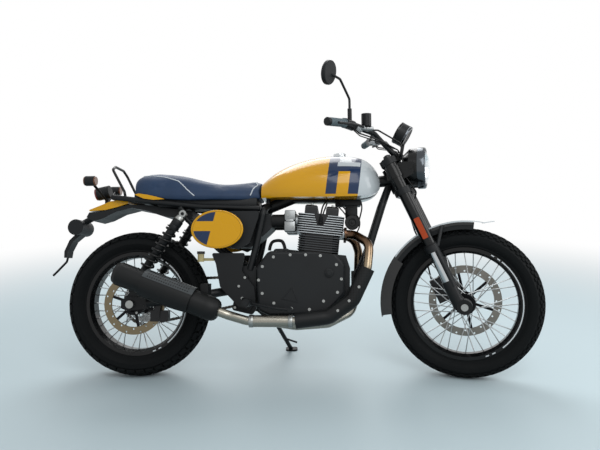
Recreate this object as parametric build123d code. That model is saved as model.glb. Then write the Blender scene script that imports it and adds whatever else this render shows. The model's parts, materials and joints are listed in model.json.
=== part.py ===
from build123d import *
import math
import os

# A scrambler motorcycle, parked on its side stand with the bars turned a little to the right.
# Everything is first modelled with the machine upright and the bars straight: +X points forward,
# +Y to the rider's left, +Z up, and the origin is on the ground below the rear axle. The pieces
# are then steered, leaned and moved so that the origin is the bottom centre of the whole machine.

# ---------------------------------------------------------------- driving dimensions, mm and degrees
WHEELBASE = 1460
RAKE = 24.9
TRAIL = 105
LEAN = 13.0
STEER_REST = -14.5

FRONT_TYRE_R = 330
FRONT_TYRE_W = 100
FRONT_RIM_R = 247
FRONT_RIM_W = 68
FRONT_CROWN_R = 53
REAR_TYRE_R = 324
REAR_TYRE_W = 136
REAR_RIM_R = 231
REAR_RIM_W = 100
REAR_CROWN_R = 84
FLANGE = 15
RIM_WELL = 11
RIM_WALL = 4
BEAD_GAP = 0.3

SPOKES = 36
SPOKE_R = 2.2
FRONT_HUB_R = 27
FRONT_HUB_W = 116
REAR_HUB_R = 36
REAR_HUB_W = 132
HUB_FLANGE_R = 46
HUB_FLANGE_T = 6
AXLE_R = 10
AXLE_FIT = 0.05

FRONT_DISC_R = 160
FRONT_DISC_Y = 70
REAR_DISC_R = 135
REAR_DISC_Y = -82
DISC_T = 5
DISC_BAND = 34
DISC_HOLE_R = 4

SPROCKET_R = 92
SPROCKET_Y = 88
SPROCKET_T = 7
DRIVE_SPROCKET_R = 38
CHAIN_H = 15
CHAIN_W = 18
CHAIN_CLEAR = 4

LEG_Y = 105
LEG_OFFSET = 26
FORK_OUTER_R = 27
FORK_INNER_R = 21.5
FORK_RISE = 3
FORK_OUTER_END = 640
LUG_TOP = 470
LUG_SOCKET = 26
REFLECTOR_S = 721
UPPER_YOKE = 1028
YOKE_SPAN = 143
YOKE_T = 28
YOKE_WALL = 6
STEM_R = 15
CLAMP_Y = 32
CLAMP_R = 18
PIVOT_R = 12
HEAD_TUBE_R = 30
RUN_FIT = 0.05

SWING_PIVOT = (480, 0, 385)
SWING_Y = 124
SWING_TUBE = 19
CROSS_TUBE_R = 24
SHOCK_TOP = (226, 0, 716)
SHOCK_LOW = (14, 0, 405)
SHOCK_Y = 140
SPRING_R = 30
WIRE_OF_SPRING = 4.5
SHOCK_PIN_R = 7
PIVOT_GAP = 1

RAIL_Y = 105
DOWN_TUBE_Y = 56
DOWN_TUBE_R = 16
TANK_POST_Y = 42
SPINE_R = 26
TUNNEL_GAP = 4

STAND_PIVOT = (600, 168, 236)
STAND_ON_GROUND = (669, 353)
STAND_PIN_R = 7
STAND_FIT = 0.1
PAD_T = 8

CYL_TILT = 6
CYL_BASE = (812, 0, 548)
BARREL_H = 78
HEAD_H = 92
ROCKER_H = 36
CYL_X = 180
HEAD_X = 202
CYL_Y = 262
FIN_T = 3.6
FIN_PITCH = 10
CASE_Y = 120
COVER_Y = 150
PORT_X = 928
PORT_Y = 72
PORT_Z = 630
INLET_X = 716
INLET_Z = 690
HEADER_R = 19
HEADER_Y = 176
HEADER_BEND = 60
SHIELD_GAP = 10
SHIELD_T = 3

MUFFLER_R = 50
FOOT_PLATE_Y = 128
DRIVE_SPROCKET = (612, 400)

TANK_LOW = 792
TANK = [(562, TANK_LOW, 866, 86), (604, TANK_LOW, 902, 106), (660, 791, 936, 126), (760, 790, 972, 139),
        (870, 790, 990, 142), (960, 792, 988, 138), (1030, 798, 968, 116), (1068, 812, 934, 84),
        (1088, 834, 898, 54)]
SEAT = [(-12, 820, 866, 90), (8, 808, 899, 113), (70, 796, 908, 122), (150, 786, 902, 124),
        (280, 782, 876, 124), (410, 782, 855, 116), (520, 786, 866, 98), (556, 790, 875, 84)]
CAP_R = 28
CABLE_R = 3.2
WIRE_R = 2.4
HOSE_R = 3.6
TURN_FRONT = -168
TURN_BACK = -208
TURN_Y = 150
TURN_Z = 864

FENDER_R = 361
FENDER_T = 3
FENDER_HALF = 60
FENDER_EDGE = 16
FLAP_DEPTH = 46
FLAP_START = 146
GUARD_R = 31
GUARD_WALL = 3.5
GUARD_LOW = 440
LUG_END_Y = LEG_Y + FORK_OUTER_R + 0.5

BAR_R = 11
BAR_BENDS = [(-178, 415, 164), (-130, 310, 170), (-103, 250, 162), (-35, 168, 140), (35, 78, 56)]
GRIP_R = 16.5
MIRROR_R = 48
MIRROR_RISE = 64
MIRROR_THREAD_R = 4.3
MIRROR_THREAD_L = 18
PADDOCK_X = 58
PADDOCK_Z = 318
PADDOCK_R = 3.4
LAMP_R = 88
LENS_WALL = 5

SEAT_GAP = 0.3


def upright_axis(s, t=0.0, y=0.0):
    """Point s along the steering axis from the ground, t forward of it and y to the left."""
    c, d = math.cos(math.radians(RAKE)), math.sin(math.radians(RAKE))
    return Vector(WHEELBASE + TRAIL - s * d + t * c, y, s * c + t * d)


STEER_DIR = Vector(-math.sin(math.radians(RAKE)), 0, math.cos(math.radians(RAKE)))
LOWER_YOKE = UPPER_YOKE - YOKE_SPAN
FORK_TOP = UPPER_YOKE + YOKE_T + FORK_RISE
YOKE_AT = upright_axis(UPPER_YOKE)
BAR_POINTS = [tuple(YOKE_AT + Vector(*bend)) for bend in BAR_BENDS]
FRONT_AXLE = Vector(WHEELBASE, 0, FRONT_TYRE_R)
REAR_AXLE = Vector(0, 0, REAR_TYRE_R)
MUFFLER_FRONT = Vector(404, -222, 300)
MUFFLER_REAR = Vector(-34, -222, 462)
CAP_BASE = Vector(912, 0, 976)
MIRROR_C = YOKE_AT + Vector(-177, -400, 360)
STAND_AXIS = Vector(-0.10, 0.91, 0.40).normalized()
LAMP_C = YOKE_AT + Vector(103, 0, -2)
DIAL_C = YOKE_AT + Vector(65, 0, 152)


# ---------------------------------------------------------------- the parked pose
def steer(shape):
    return shape.rotate(Axis(tuple(upright_axis(0)), tuple(STEER_DIR)), STEER_REST)


def turn_vector(v, axis, degrees):
    """Rodrigues' rotation of a vector about a unit axis through the origin."""
    a = math.radians(degrees)
    return v * math.cos(a) + axis.cross(v) * math.sin(a) + axis * (axis.dot(v) * (1 - math.cos(a)))


def lowest_of_tyre(centre, axle, radius, crown_r):
    """Height of the lowest point of a tyre whose crown is part of a torus."""
    return centre.Z - (radius - crown_r) * math.sqrt(1 - axle.Z**2) - crown_r


def parked_heights():
    """How far the two tyres' lowest points are from the ground once steered and leaned."""
    side = Vector(0, 1, 0)
    rear = lowest_of_tyre(turn_vector(REAR_AXLE, Vector(1, 0, 0), -LEAN),
                          turn_vector(side, Vector(1, 0, 0), -LEAN), REAR_TYRE_R, REAR_CROWN_R)
    foot = upright_axis(0)
    centre = foot + turn_vector(FRONT_AXLE - foot, STEER_DIR, STEER_REST)
    axle = turn_vector(side, STEER_DIR, STEER_REST)
    front = lowest_of_tyre(turn_vector(centre, Vector(1, 0, 0), -LEAN),
                           turn_vector(axle, Vector(1, 0, 0), -LEAN), FRONT_TYRE_R, FRONT_CROWN_R)
    return rear, front


REAR_DROP, FRONT_DROP = parked_heights()
PITCH = math.degrees(math.atan2(FRONT_DROP - REAR_DROP, WHEELBASE))


def park(shape, steered):
    """Turn what belongs to the steering, lean the machine and set both tyres on the ground."""
    if steered:
        shape = steer(shape)
    shape = shape.rotate(Axis.X, -LEAN).rotate(Axis.Y, PITCH)
    return shape.translate(Vector(0, 0, -REAR_DROP))


def park_vector(v):
    return turn_vector(turn_vector(v, Vector(1, 0, 0), -LEAN), Vector(0, 1, 0), PITCH)


def unpark_vector(v):
    return turn_vector(turn_vector(v, Vector(0, 1, 0), -PITCH), Vector(1, 0, 0), LEAN)


# where the stand's pad meets the ground, and the ground's normal, seen in the upright machine
STAND_FOOT = unpark_vector(Vector(*STAND_ON_GROUND, REAR_DROP))
GROUND_UP = unpark_vector(Vector(0, 0, 1))



# ---------------------------------------------------------------- helpers
def rod(start, end, radius):
    """A plain round bar between two points."""
    a, b = Vector(*start), Vector(*end)
    return Solid.make_cylinder(radius, (b - a).length, Plane(origin=a, z_dir=(b - a).normalized()))


def cone(start, end, r_start, r_end):
    a, b = Vector(*start), Vector(*end)
    plane = Plane(origin=a, z_dir=(b - a).normalized())
    return Solid.make_cone(r_start, r_end, (b - a).length, plane)


def pipe(points, radius, bend):
    """A round tube's outer shape along straight runs joined by arcs of the given bend radius."""
    path = FilletPolyline(*[Vector(*p) for p in points], radius=bend)
    return sweep(Plane(origin=path @ 0, z_dir=path % 0) * Circle(radius), path=path)


def block(low, high):
    """A box given by its lowest and highest corners."""
    size = [h - l for l, h in zip(low, high)]
    middle = [(h + l) / 2 for l, h in zip(low, high)]
    return Pos(*middle) * Box(*size)


def side_plate(outline, y_low, y_high, fillet_r=0.0):
    """A flat plate seen from the side, its outline in (x, z), between two y values."""
    face = make_face(Polyline(*[(x, z) for x, z in outline], close=True))
    if fillet_r:
        face = fillet(face.vertices(), fillet_r)
    solid = extrude(Plane.XZ * face, amount=-(y_high - y_low))
    return Pos(0, y_low, 0) * solid


def turned(profile, centre):
    """A solid of revolution about the wheel axis: the profile is in (y, r)."""
    face = make_face(profile)
    solid = revolve(Plane.YZ * face, axis=Axis.Y)
    return Pos(*centre) * solid


def ring(r_in, r_out, y_low, y_high, centre):
    solid = Pos(0, (y_low + y_high) / 2, 0) * Rot(90, 0, 0) * (
        Cylinder(r_out, y_high - y_low) - Cylinder(r_in, y_high - y_low + 2)
    )
    return Pos(*centre) * solid


def disc(r, y_low, y_high, centre):
    solid = Pos(0, (y_low + y_high) / 2, 0) * Rot(90, 0, 0) * Cylinder(r, y_high - y_low)
    return Pos(*centre) * solid


def pair(shape):
    """The shape and its mirror image as two solids of one node."""
    return [shape, mirror(shape, about=Plane.XZ)]


# ---------------------------------------------------------------- wheels
def tyre(radius, width, rim_r, rim_w, crown_r, centre):
    """Closed ring from the rim's bead seat out to the tips of the tread."""
    half, seat = width / 2, rim_r - FLANGE + RIM_WALL + BEAD_GAP
    bead = rim_w / 2 - RIM_WALL - BEAD_GAP
    shoulder = half * 0.82
    shoulder_r = radius - (crown_r - math.sqrt(crown_r**2 - shoulder**2))
    bulge_r = (rim_r + shoulder_r) / 2
    profile = Curve() + [
        Line((-bead, seat), (bead, seat)),
        Line((bead, seat), (bead, rim_r + BEAD_GAP)),
        ThreePointArc((bead, rim_r + BEAD_GAP), (half, bulge_r), (shoulder, shoulder_r)),
        ThreePointArc((shoulder, shoulder_r), (0, radius), (-shoulder, shoulder_r)),
        ThreePointArc((-shoulder, shoulder_r), (-half, bulge_r), (-bead, rim_r + BEAD_GAP)),
        Line((-bead, rim_r + BEAD_GAP), (-bead, seat)),
    ]
    return turned(profile, centre)


def rim(rim_r, rim_w, centre):
    """Rim section: two flanges, the bead seats and a shallow drop well."""
    half, seat = rim_w / 2, rim_r - FLANGE
    well = seat - RIM_WELL
    outer = [
        (-half, rim_r), (-half, seat), (-half * 0.5, well), (half * 0.5, well),
        (half, seat), (half, rim_r), (half - RIM_WALL, rim_r), (half - RIM_WALL, seat + RIM_WALL),
        (half * 0.45, well + RIM_WALL + 2), (-half * 0.45, well + RIM_WALL + 2),
        (-half + RIM_WALL, seat + RIM_WALL), (-half + RIM_WALL, rim_r),
    ]
    return turned(Polyline(*outer, close=True), centre)


def spoked_hub(hub_r, hub_w, rim_r, centre):
    """Hub shell with two flanges and the crossed spokes that reach the rim."""
    well = rim_r - FLANGE - RIM_WELL
    solid = disc(hub_r, -hub_w / 2, hub_w / 2, (0, 0, 0))
    flange_y = hub_w / 2 - 18
    for side in (-1, 1):
        y = side * flange_y
        solid += disc(HUB_FLANGE_R, y - HUB_FLANGE_T / 2, y + HUB_FLANGE_T / 2, (0, 0, 0))
    spokes = []
    step = 360 / SPOKES
    for i in range(SPOKES):
        side = -1 if i % 2 else 1
        lead = 52 if (i // 2) % 2 else -52
        a_rim = math.radians(i * step)
        a_hub = math.radians(i * step + lead)
        inner = (HUB_FLANGE_R - 6) * Vector(math.cos(a_hub), 0, math.sin(a_hub))
        outer = (well + 1) * Vector(math.cos(a_rim), 0, math.sin(a_rim))
        inner += Vector(0, side * flange_y, 0)
        outer += Vector(0, side * 4, 0)
        spokes.append(rod(inner, outer, SPOKE_R))
    solid = solid.fuse(*spokes)
    limit = disc(well - BEAD_GAP, -hub_w, hub_w, (0, 0, 0))
    solid = solid & limit
    solid -= disc(AXLE_R + AXLE_FIT, -hub_w, hub_w, (0, 0, 0))
    return Pos(*centre) * solid


def brake_disc(radius, y, hub_r, centre):
    """Drilled friction ring on six arms of a carrier."""
    low, high = y - DISC_T / 2, y + DISC_T / 2
    solid = ring(radius - DISC_BAND, radius, low, high, (0, 0, 0))
    solid += ring(hub_r + BEAD_GAP, hub_r + 14, low, high, (0, 0, 0))
    for i in range(6):
        arm = block((hub_r + 8, low, -6), (radius - DISC_BAND + 4, high, 6))
        solid += Rot(0, i * 60 + 18, 0) * arm
    for i in range(24):
        angle = math.radians(i * 15)
        r = radius - DISC_BAND / 2 + (8 if i % 2 else -8)
        solid -= disc(DISC_HOLE_R, low - 1, high + 1, (r * math.cos(angle), 0, r * math.sin(angle)))
    return Pos(*centre) * solid


def sprocket():
    """Driven sprocket with its carrier, bolted to the left side of the rear hub."""
    low, high = SPROCKET_Y - SPROCKET_T / 2, SPROCKET_Y + SPROCKET_T / 2
    solid = disc(SPROCKET_R, low, high, (0, 0, 0))
    for i in range(6):
        angle = math.radians(i * 60)
        hole = (62 * math.cos(angle), 0, 62 * math.sin(angle))
        solid -= disc(13, low - 1, high + 1, hole)
    solid += disc(REAR_HUB_R + 6, REAR_HUB_W / 2 - 2, high, (0, 0, 0))
    return solid


def rear_hub_and_sprocket(centre):
    solid = spoked_hub(REAR_HUB_R, REAR_HUB_W, REAR_RIM_R, (0, 0, 0)) + sprocket()
    solid -= disc(AXLE_R + AXLE_FIT, 0, 200, (0, 0, 0))
    return Pos(*centre) * solid


# ---------------------------------------------------------------- frame
def frame_main():
    """Head tube, spine, twin down tubes, pivot plates and the swingarm's pivot bolt."""
    low, high = upright_axis(LOWER_YOKE + YOKE_T + 1), upright_axis(UPPER_YOKE - 1)
    head = rod(low, high, HEAD_TUBE_R)
    spine = pipe([tuple(upright_axis(LOWER_YOKE + 86)), (820, 0, 850), (560, 0, 745)], SPINE_R, 300)
    solid = head + spine
    rest = SPINE_R + TUNNEL_GAP - SEAT_GAP
    solid += rod((1000, -rest, 868), (1000, rest, 868), 12)
    for side in (-1, 1):
        y = side * DOWN_TUBE_Y
        top = upright_axis(LOWER_YOKE + 65, -38, side * 17)
        bend = upright_axis(LOWER_YOKE, -104, side * (DOWN_TUBE_Y - 4))
        solid += pipe([tuple(top), tuple(bend), (1035, y, 560), (985, y, 440)], DOWN_TUBE_R, 30)
        solid += rod((588, side * TANK_POST_Y, 757), (588, side * TANK_POST_Y, TANK_LOW - SEAT_GAP), 9)
        solid += pipe([(590, side * 30, 762), (575, side * RAIL_Y, 735), (542, side * RAIL_Y, 570),
                       (518, side * RAIL_Y, 474)], 15, 30)
        solid += side_plate([(440, 300), (530, 280), (545, 300), (545, 490), (480, 490)],
                            side * RAIL_Y - 6, side * RAIL_Y + 6, 12)
        solid += block((962, min(y, y - side * 20), 400), (1000, max(y, y - side * 20), 470))
    solid += rod((590, -20, 762), (590, 20, 762), 15)
    solid += rod((575, -RAIL_Y, 735), (575, RAIL_Y, 735), 12)
    solid += rod((515, -RAIL_Y, 300), (515, RAIL_Y, 300), 12)
    solid -= rod(upright_axis(LOWER_YOKE), upright_axis(UPPER_YOKE + 40), STEM_R + RUN_FIT)
    px, _, pz = SWING_PIVOT
    return solid + rod((px, -RAIL_Y - 10, pz), (px, RAIL_Y + 10, pz), PIVOT_R)


def stand_bracket():
    """Ear and slanted hinge pin on the left pivot plate, for the side stand."""
    at = Vector(*STAND_PIVOT)
    ear = rod(at - STAND_AXIS * 30, at - STAND_AXIS * 18, 19)
    arm = pipe([(520, RAIL_Y - 2, 306), (528, RAIL_Y + 16, 290), tuple(at - STAND_AXIS * 33)], 12, 12)
    arm -= rod(at - STAND_AXIS * 18, at + STAND_AXIS * 20, 26)
    pin = rod(at - STAND_AXIS * 24, at + STAND_AXIS * 16, STAND_PIN_R)
    head = rod(at + STAND_AXIS * (8 + SEAT_GAP), at + STAND_AXIS * 15, STAND_PIN_R + 5)
    return ear + arm + pin + head


def rear_subframe():
    """Seat rails with the tail loop, the struts below and the shock mounts."""
    solid = None
    for side in (-1, 1):
        y = side * 108
        rail = pipe([(560, y, 742), (300, y, 752), (60, y, 778), (-110, side * 80, 800)], 12, 60)
        inner = side * 98
        strut = pipe([(476, inner, 500), (380, inner, 560), (SHOCK_TOP[0] + 3, inner, 700),
                      (SHOCK_TOP[0] - 22, y, 752)], 11, 40)
        boss = rod((SHOCK_TOP[0], inner, SHOCK_TOP[2]), (SHOCK_TOP[0], side * (SHOCK_Y + 16), SHOCK_TOP[2]),
                   SHOCK_PIN_R)
        part = rail + strut + boss
        solid = part if solid is None else solid + part
    solid += rod((-110, -80, 800), (-110, 80, 800), 12)
    for x in (60, 380):
        z = 778 if x == 60 else 750
        solid += rod((x, -108, z), (x, 108, z), 10)
    return solid


def grab_rail():
    """Thin bent rod that rises behind the seat."""
    points = [(-50, -86, 790), (-58, -86, 825), (-112, -92, 925), (-116, -50, 945), (-116, 50, 945),
              (-112, 92, 925), (-58, 86, 825), (-50, 86, 790)]
    return pipe(points, 6, 16)


def swingarm():
    """Two arms that close round the cross tube at the pivot, with plates that hold the axle."""
    px, _, pz = SWING_PIVOT
    arms = []
    for side in (-1, 1):
        y = side * SWING_Y
        arm = pipe([(px - 10, side * 70, pz), (px - 65, side * 76, pz - 4), (344, side * 114, pz - 16),
                    (70, y, REAR_AXLE.Z + 6)], SWING_TUBE, 40)
        plate = side_plate([(80, 306), (80, 350), (-10, 358), (-42, 344), (-42, 306), (-10, 296)],
                           y - 9, y + 9, 10)
        foot = rod((SHOCK_LOW[0], side * (SWING_Y - 5), SHOCK_LOW[2]),
                   (SHOCK_LOW[0], side * (SHOCK_Y + 16), SHOCK_LOW[2]), SHOCK_PIN_R)
        lug = side_plate([(-14, 340), (34, 340), (22, 412), (-8, 412)], min(y - side * 9, y + side * 2),
                         max(y - side * 9, y + side * 2), 6)
        solid = arm + plate + lug + foot - rod((px, -200, pz), (px, 200, pz), CROSS_TUBE_R + RUN_FIT)
        solid -= rod((0, -200, REAR_AXLE.Z), (0, 200, REAR_AXLE.Z), AXLE_R + AXLE_FIT)
        arms.append(solid - rod((PADDOCK_X, -200, PADDOCK_Z), (PADDOCK_X, 200, PADDOCK_Z), PADDOCK_R))
    return arms


def swingarm_pivot():
    """Cross tube that turns on the pivot bolt."""
    px, _, pz = SWING_PIVOT
    half = RAIL_Y - 6 - PIVOT_GAP
    tube = rod((px, -half, pz), (px, half, pz), CROSS_TUBE_R)
    return tube - rod((px, -200, pz), (px, 200, pz), PIVOT_R + RUN_FIT)


def rear_axle():
    y = SWING_Y + 9
    solid = rod((0, -y - 6, REAR_AXLE.Z), (0, y + 6, REAR_AXLE.Z), AXLE_R)
    for side in (-1, 1):
        solid += rod((0, side * (y + BEAD_GAP), REAR_AXLE.Z), (0, side * (y + 16), REAR_AXLE.Z), 17)
    return solid


def rear_shocks():
    """Twin shocks: body, rod, top eye and the coils of the spring as stacked rings."""
    shocks = []
    for side in (-1, 1):
        top = Vector(SHOCK_TOP[0], side * SHOCK_Y, SHOCK_TOP[2])
        low = Vector(SHOCK_LOW[0], side * SHOCK_Y, SHOCK_LOW[2])
        way = (low - top).normalized()
        length = (low - top).length
        solid = rod(top + way * 14, low - way * 14, 12)
        solid += rod(top + way * 22, top + way * 70, 22)
        solid += rod(low - way * 40, low - way * 24, 25)
        turns = 11
        start, end = 78, length - 46
        for i in range(turns):
            at = top + way * (start + (end - start) * i / (turns - 1))
            solid += Plane(origin=at, z_dir=way) * Torus(SPRING_R - WIRE_OF_SPRING, WIRE_OF_SPRING)
            web = 3.0
            solid += rod(at - way * web, at + way * web, SPRING_R - 6)
        for eye in (top, low):
            solid += rod(eye - Vector(0, 13, 0), eye + Vector(0, 13, 0), 16)
            solid -= rod(eye - Vector(0, 20, 0), eye + Vector(0, 20, 0), SHOCK_PIN_R + RUN_FIT)
        shocks.append(solid)
    return shocks


def side_stand():
    """Leg, hinge lug, foot and the tang for the rider's heel."""
    at = Vector(*STAND_PIVOT)
    way = (STAND_FOOT - at).normalized()
    solid = rod(at - STAND_AXIS * (18 - SEAT_GAP), at + STAND_AXIS * 8, 18)
    solid += rod(at - STAND_AXIS * 5, STAND_FOOT - way * 8, 10)
    solid += rod(at + way * 150, at + way * 150 + Vector(58, 10, -20), 4.5)
    solid -= rod(at + STAND_AXIS * 8, at + STAND_AXIS * 20, STAND_PIN_R + 6)
    return solid - rod(at - STAND_AXIS * 40, at + STAND_AXIS * 40, STAND_PIN_R + STAND_FIT)


def stand_pad():
    """Flat pad welded to the leg's end, level with the ground when the machine leans on it."""
    plane = Plane(origin=STAND_FOOT, x_dir=(1, 0, 0), z_dir=GROUND_UP)
    return plane * extrude(RectangleRounded(58, 44, 14), PAD_T)


# ---------------------------------------------------------------- engine and exhaust
def tilt(shape):
    """Stand a piece that is modelled on z = 0 on the crankcase, leaning with the barrels."""
    x, _, z = CYL_BASE
    return Pos(x, 0, z) * Rot(0, CYL_TILT, 0) * shape


def deck(clearance):
    """Space above the crankcase that the barrels take."""
    return tilt(block((-130, -220, -clearance), (130, 220, 200)))


def engine_block():
    """Crankcase and gearbox as one heavy block, its deck square to the barrels."""
    outline = [(600, 500), (625, 565), (925, 565), (952, 480), (950, 350), (885, 275), (600, 275)]
    main_case = side_plate(outline, -CASE_Y, CASE_Y, 14)
    chain_side = SPROCKET_Y - CHAIN_W / 2 - 4
    gearbox = block((558, -RAIL_Y + 14, 310), (610, chain_side, 500))
    pocket = block((540, chain_side, 320), (DRIVE_SPROCKET[0] + 72, CASE_Y + 1, 480))
    return main_case + gearbox - deck(0) - pocket


def engine_covers():
    """Right clutch cover and left alternator and sprocket covers."""
    right = side_plate([(556, 300), (548, 480), (600, 554), (880, 554), (930, 500), (930, 372), (850, 284),
                        (610, 276)], -COVER_Y, -CASE_Y - SEAT_GAP, 34)
    right = fillet(right.faces().sort_by(Axis.Y)[0].edges(), 14)
    left = side_plate([(690, 330), (690, 470), (760, 530), (880, 530), (925, 480), (925, 350), (860, 290),
                       (750, 290)], CASE_Y + SEAT_GAP, CASE_Y + 38, 34)
    left = fillet(left.faces().sort_by(Axis.Y)[-1].edges(), 12)
    drive = side_plate([(558, 330), (556, 470), (606, 520), (676, 520), (676, 330)],
                       CASE_Y + SEAT_GAP, CASE_Y + 30, 16)
    return [cover - deck(2) for cover in (right, left, drive)]


def cylinders():
    """Two barrels with flat cooling fins."""
    solid = block((-60, -118, 0), (60, 118, BARREL_H))
    fins = int((BARREL_H - FIN_T) / FIN_PITCH)
    for i in range(fins):
        fin = extrude(RectangleRounded(CYL_X, CYL_Y, 24), FIN_T)
        solid += Pos(0, 0, 6 + i * FIN_PITCH) * fin
    return tilt(solid)


def cylinder_head():
    """Finned head with its plug recesses, exhaust ports and the rocker covers on top."""
    solid = block((-66, -122, 0), (66, 122, HEAD_H))
    fins = int(HEAD_H / FIN_PITCH)
    for i in range(fins):
        fin = extrude(RectangleRounded(HEAD_X, CYL_Y + 6, 22), FIN_T)
        solid += Pos(0, 0, 2 + i * FIN_PITCH) * fin
    notch = side_plate([(-14, 40), (14, 40), (34, HEAD_H + 5), (-34, HEAD_H + 5)], 116, 150)
    solid -= notch
    solid -= mirror(notch, about=Plane.XZ)
    for x in (-46, 46):
        for y in (-66, 66):
            box = Pos(x, y, HEAD_H + ROCKER_H / 2 - 1) * Box(56, 96, ROCKER_H + 2)
            solid += fillet(box.faces().sort_by(Axis.Z)[-1].edges(), 12)
    solid = tilt(Pos(0, 0, BARREL_H) * solid)
    for y in (-PORT_Y, PORT_Y):
        solid += rod((850, y, PORT_Z), (PORT_X, y, PORT_Z), HEADER_R + 6)
        solid += rod((760, y, INLET_Z), (INLET_X, y, INLET_Z), 26)
    return solid - tilt(block((-200, -200, -100), (200, 200, BARREL_H)))


def throttle_bodies():
    """Throttle bodies behind the head with the rubber boots to the airbox."""
    solids = []
    for y in (-PORT_Y, PORT_Y):
        solid = rod((INLET_X, y, INLET_Z), (INLET_X - 52, y, INLET_Z), 33)
        solid += rod((INLET_X - 50, y, INLET_Z), (INLET_X - 105, y, INLET_Z), 29)
        solids.append(solid)
    return solids


def airbox():
    """Air filter and battery box under the seat, between the frame's tubes."""
    outline = [(345, 640), (345, 720), (540, 720), (INLET_X - 105, 718), (INLET_X - 105, 660), (520, 575),
               (400, 575)]
    return side_plate(outline, -84, 84, 14)


RIGHT_HEADER = [(PORT_X, -PORT_Y, PORT_Z), (970, -PORT_Y, PORT_Z), (1034, -150, 585), (1022, -HEADER_Y, 480),
                (958, -HEADER_Y, 345), (860, -HEADER_Y, 276), (720, -HEADER_Y, 258),
                (520, -HEADER_Y, 258)]


def exhaust_headers():
    """Two header pipes that meet under the engine and end in the silencer's inlet."""
    way = (MUFFLER_REAR - MUFFLER_FRONT).normalized()
    inlet = MUFFLER_FRONT + way * 26
    before = MUFFLER_FRONT - way * 40
    right = pipe(RIGHT_HEADER + [tuple(before), tuple(inlet)], HEADER_R, HEADER_BEND)
    left = pipe([(PORT_X, PORT_Y, PORT_Z), (974, PORT_Y, PORT_Z), (998, 92, 560), (994, 99, 440),
                 (966, 80, 284), (856, 10, 234), (720, -90, 232), (640, -HEADER_Y + 20, 250)],
                HEADER_R, HEADER_BEND)
    box = rod((690, -HEADER_Y, 258), (530, -HEADER_Y, 258), HEADER_R + 6)
    return right + left + box


def header_shield():
    """Black guard round the lower bend of the right header."""
    outer = pipe(RIGHT_HEADER[3:7], HEADER_R + SHIELD_GAP + SHIELD_T, HEADER_BEND)
    inner = pipe(RIGHT_HEADER[2:8], HEADER_R + SHIELD_GAP, HEADER_BEND)
    inside = block((600, -HEADER_Y + 12, 0), (1300, 0, 700))
    clips = ring_on_header(RIGHT_HEADER[4], RIGHT_HEADER[5])
    clips += ring_on_header(RIGHT_HEADER[3], RIGHT_HEADER[4])
    return outer - inner - inside + clips


def ring_on_header(start, end):
    """Clip that stands the shield off the pipe, halfway between two points of its route."""
    a, b = Vector(*start), Vector(*end)
    way = (b - a).normalized()
    middle = (a + b) * 0.5
    clip = rod(middle - way * 5, middle + way * 5, HEADER_R + SHIELD_GAP)
    return clip - rod(middle - way * 8, middle + way * 8, HEADER_R + RUN_FIT)


def muffler():
    """Round silencer body with a tapered inlet, an end cap and a raised shield."""
    way = (MUFFLER_REAR - MUFFLER_FRONT).normalized()
    length = (MUFFLER_REAR - MUFFLER_FRONT).length
    solid = cone(MUFFLER_FRONT, MUFFLER_FRONT + way * 60, HEADER_R + 11, MUFFLER_R)
    solid += rod(MUFFLER_FRONT + way * 60, MUFFLER_FRONT + way * (length - 16), MUFFLER_R)
    solid += cone(MUFFLER_FRONT + way * (length - 16), MUFFLER_REAR, MUFFLER_R, MUFFLER_R - 8)
    shield = rod(MUFFLER_FRONT + way * 120, MUFFLER_FRONT + way * 340, MUFFLER_R + 9)
    side = Vector(0, -1, 0.9).normalized()
    keep = Plane(origin=MUFFLER_FRONT + side * 24, z_dir=side) * Pos(0, 0, 60) * Box(1400, 1400, 120)
    solid += shield & keep
    strap_at = MUFFLER_FRONT + way * 70
    solid += block((strap_at.X - 16, strap_at.Y + 20, strap_at.Z), (strap_at.X + 16, FOOT_PLATE_Y * -1 - 8,
                                                                  strap_at.Z + 90))
    solid -= rod(MUFFLER_REAR - way * 50, MUFFLER_REAR + way, 20)
    solid -= rod(MUFFLER_FRONT - way, MUFFLER_FRONT + way * 26, HEADER_R + RUN_FIT)
    return solid


# ---------------------------------------------------------------- bodywork
def arched_section(x, z_low, z_high, half, shoulder=0.62, belly=0.93):
    """A closed cross-section at x: flat underside, bulged flanks and an arched top."""
    height = z_high - z_low
    flank = z_low + 0.42 * height
    top = z_low + 0.84 * height
    edges = [
        Line((-half * belly, z_low), (half * belly, z_low)),
        ThreePointArc((half * belly, z_low), (half, flank), (half * shoulder, top)),
        ThreePointArc((half * shoulder, top), (0, z_high), (-half * shoulder, top)),
        ThreePointArc((-half * shoulder, top), (-half, flank), (-half * belly, z_low)),
    ]
    return Plane(origin=(x, 0, 0), x_dir=(0, 1, 0), z_dir=(1, 0, 0)) * make_face(Curve() + edges)


def fuel_tank():
    """Tank from its cross-sections, with the tunnel for the frame's spine."""
    solid = loft([arched_section(*s) for s in TANK])
    tunnel = side_plate([(500, 700), (1120, 700), (1120, 909), (820, 880), (690, 835), (500, 760)],
                        -SPINE_R - TUNNEL_GAP, SPINE_R + TUNNEL_GAP)
    return solid - tunnel - cap_space(SEAT_GAP)


def cap_space(gap):
    return rod(CAP_BASE, CAP_BASE + Vector(-1, 0, 26), CAP_R + gap)


def fuel_cap():
    """Flush round cap on a short neck."""
    return rod(CAP_BASE, CAP_BASE + Vector(-1, 0, 26), CAP_R)


def seat():
    return loft([arched_section(*s, 0.7, 0.96) for s in SEAT])


def side_covers():
    """Left and right covers outside the frame tubes, each with the lug for its board."""
    outline = [(330, 728), (560, 728), (556, 700), (520, 590), (470, 560), (400, 585), (330, 660)]
    plate = side_plate(outline, 126, 140, 10)
    lug = rod((386, 139, 645), (386, 180, 645), 16)
    stay = rod((530, RAIL_Y + 13, 650), (530, 128, 650), 9)
    return pair(plate + lug + stay)


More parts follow.
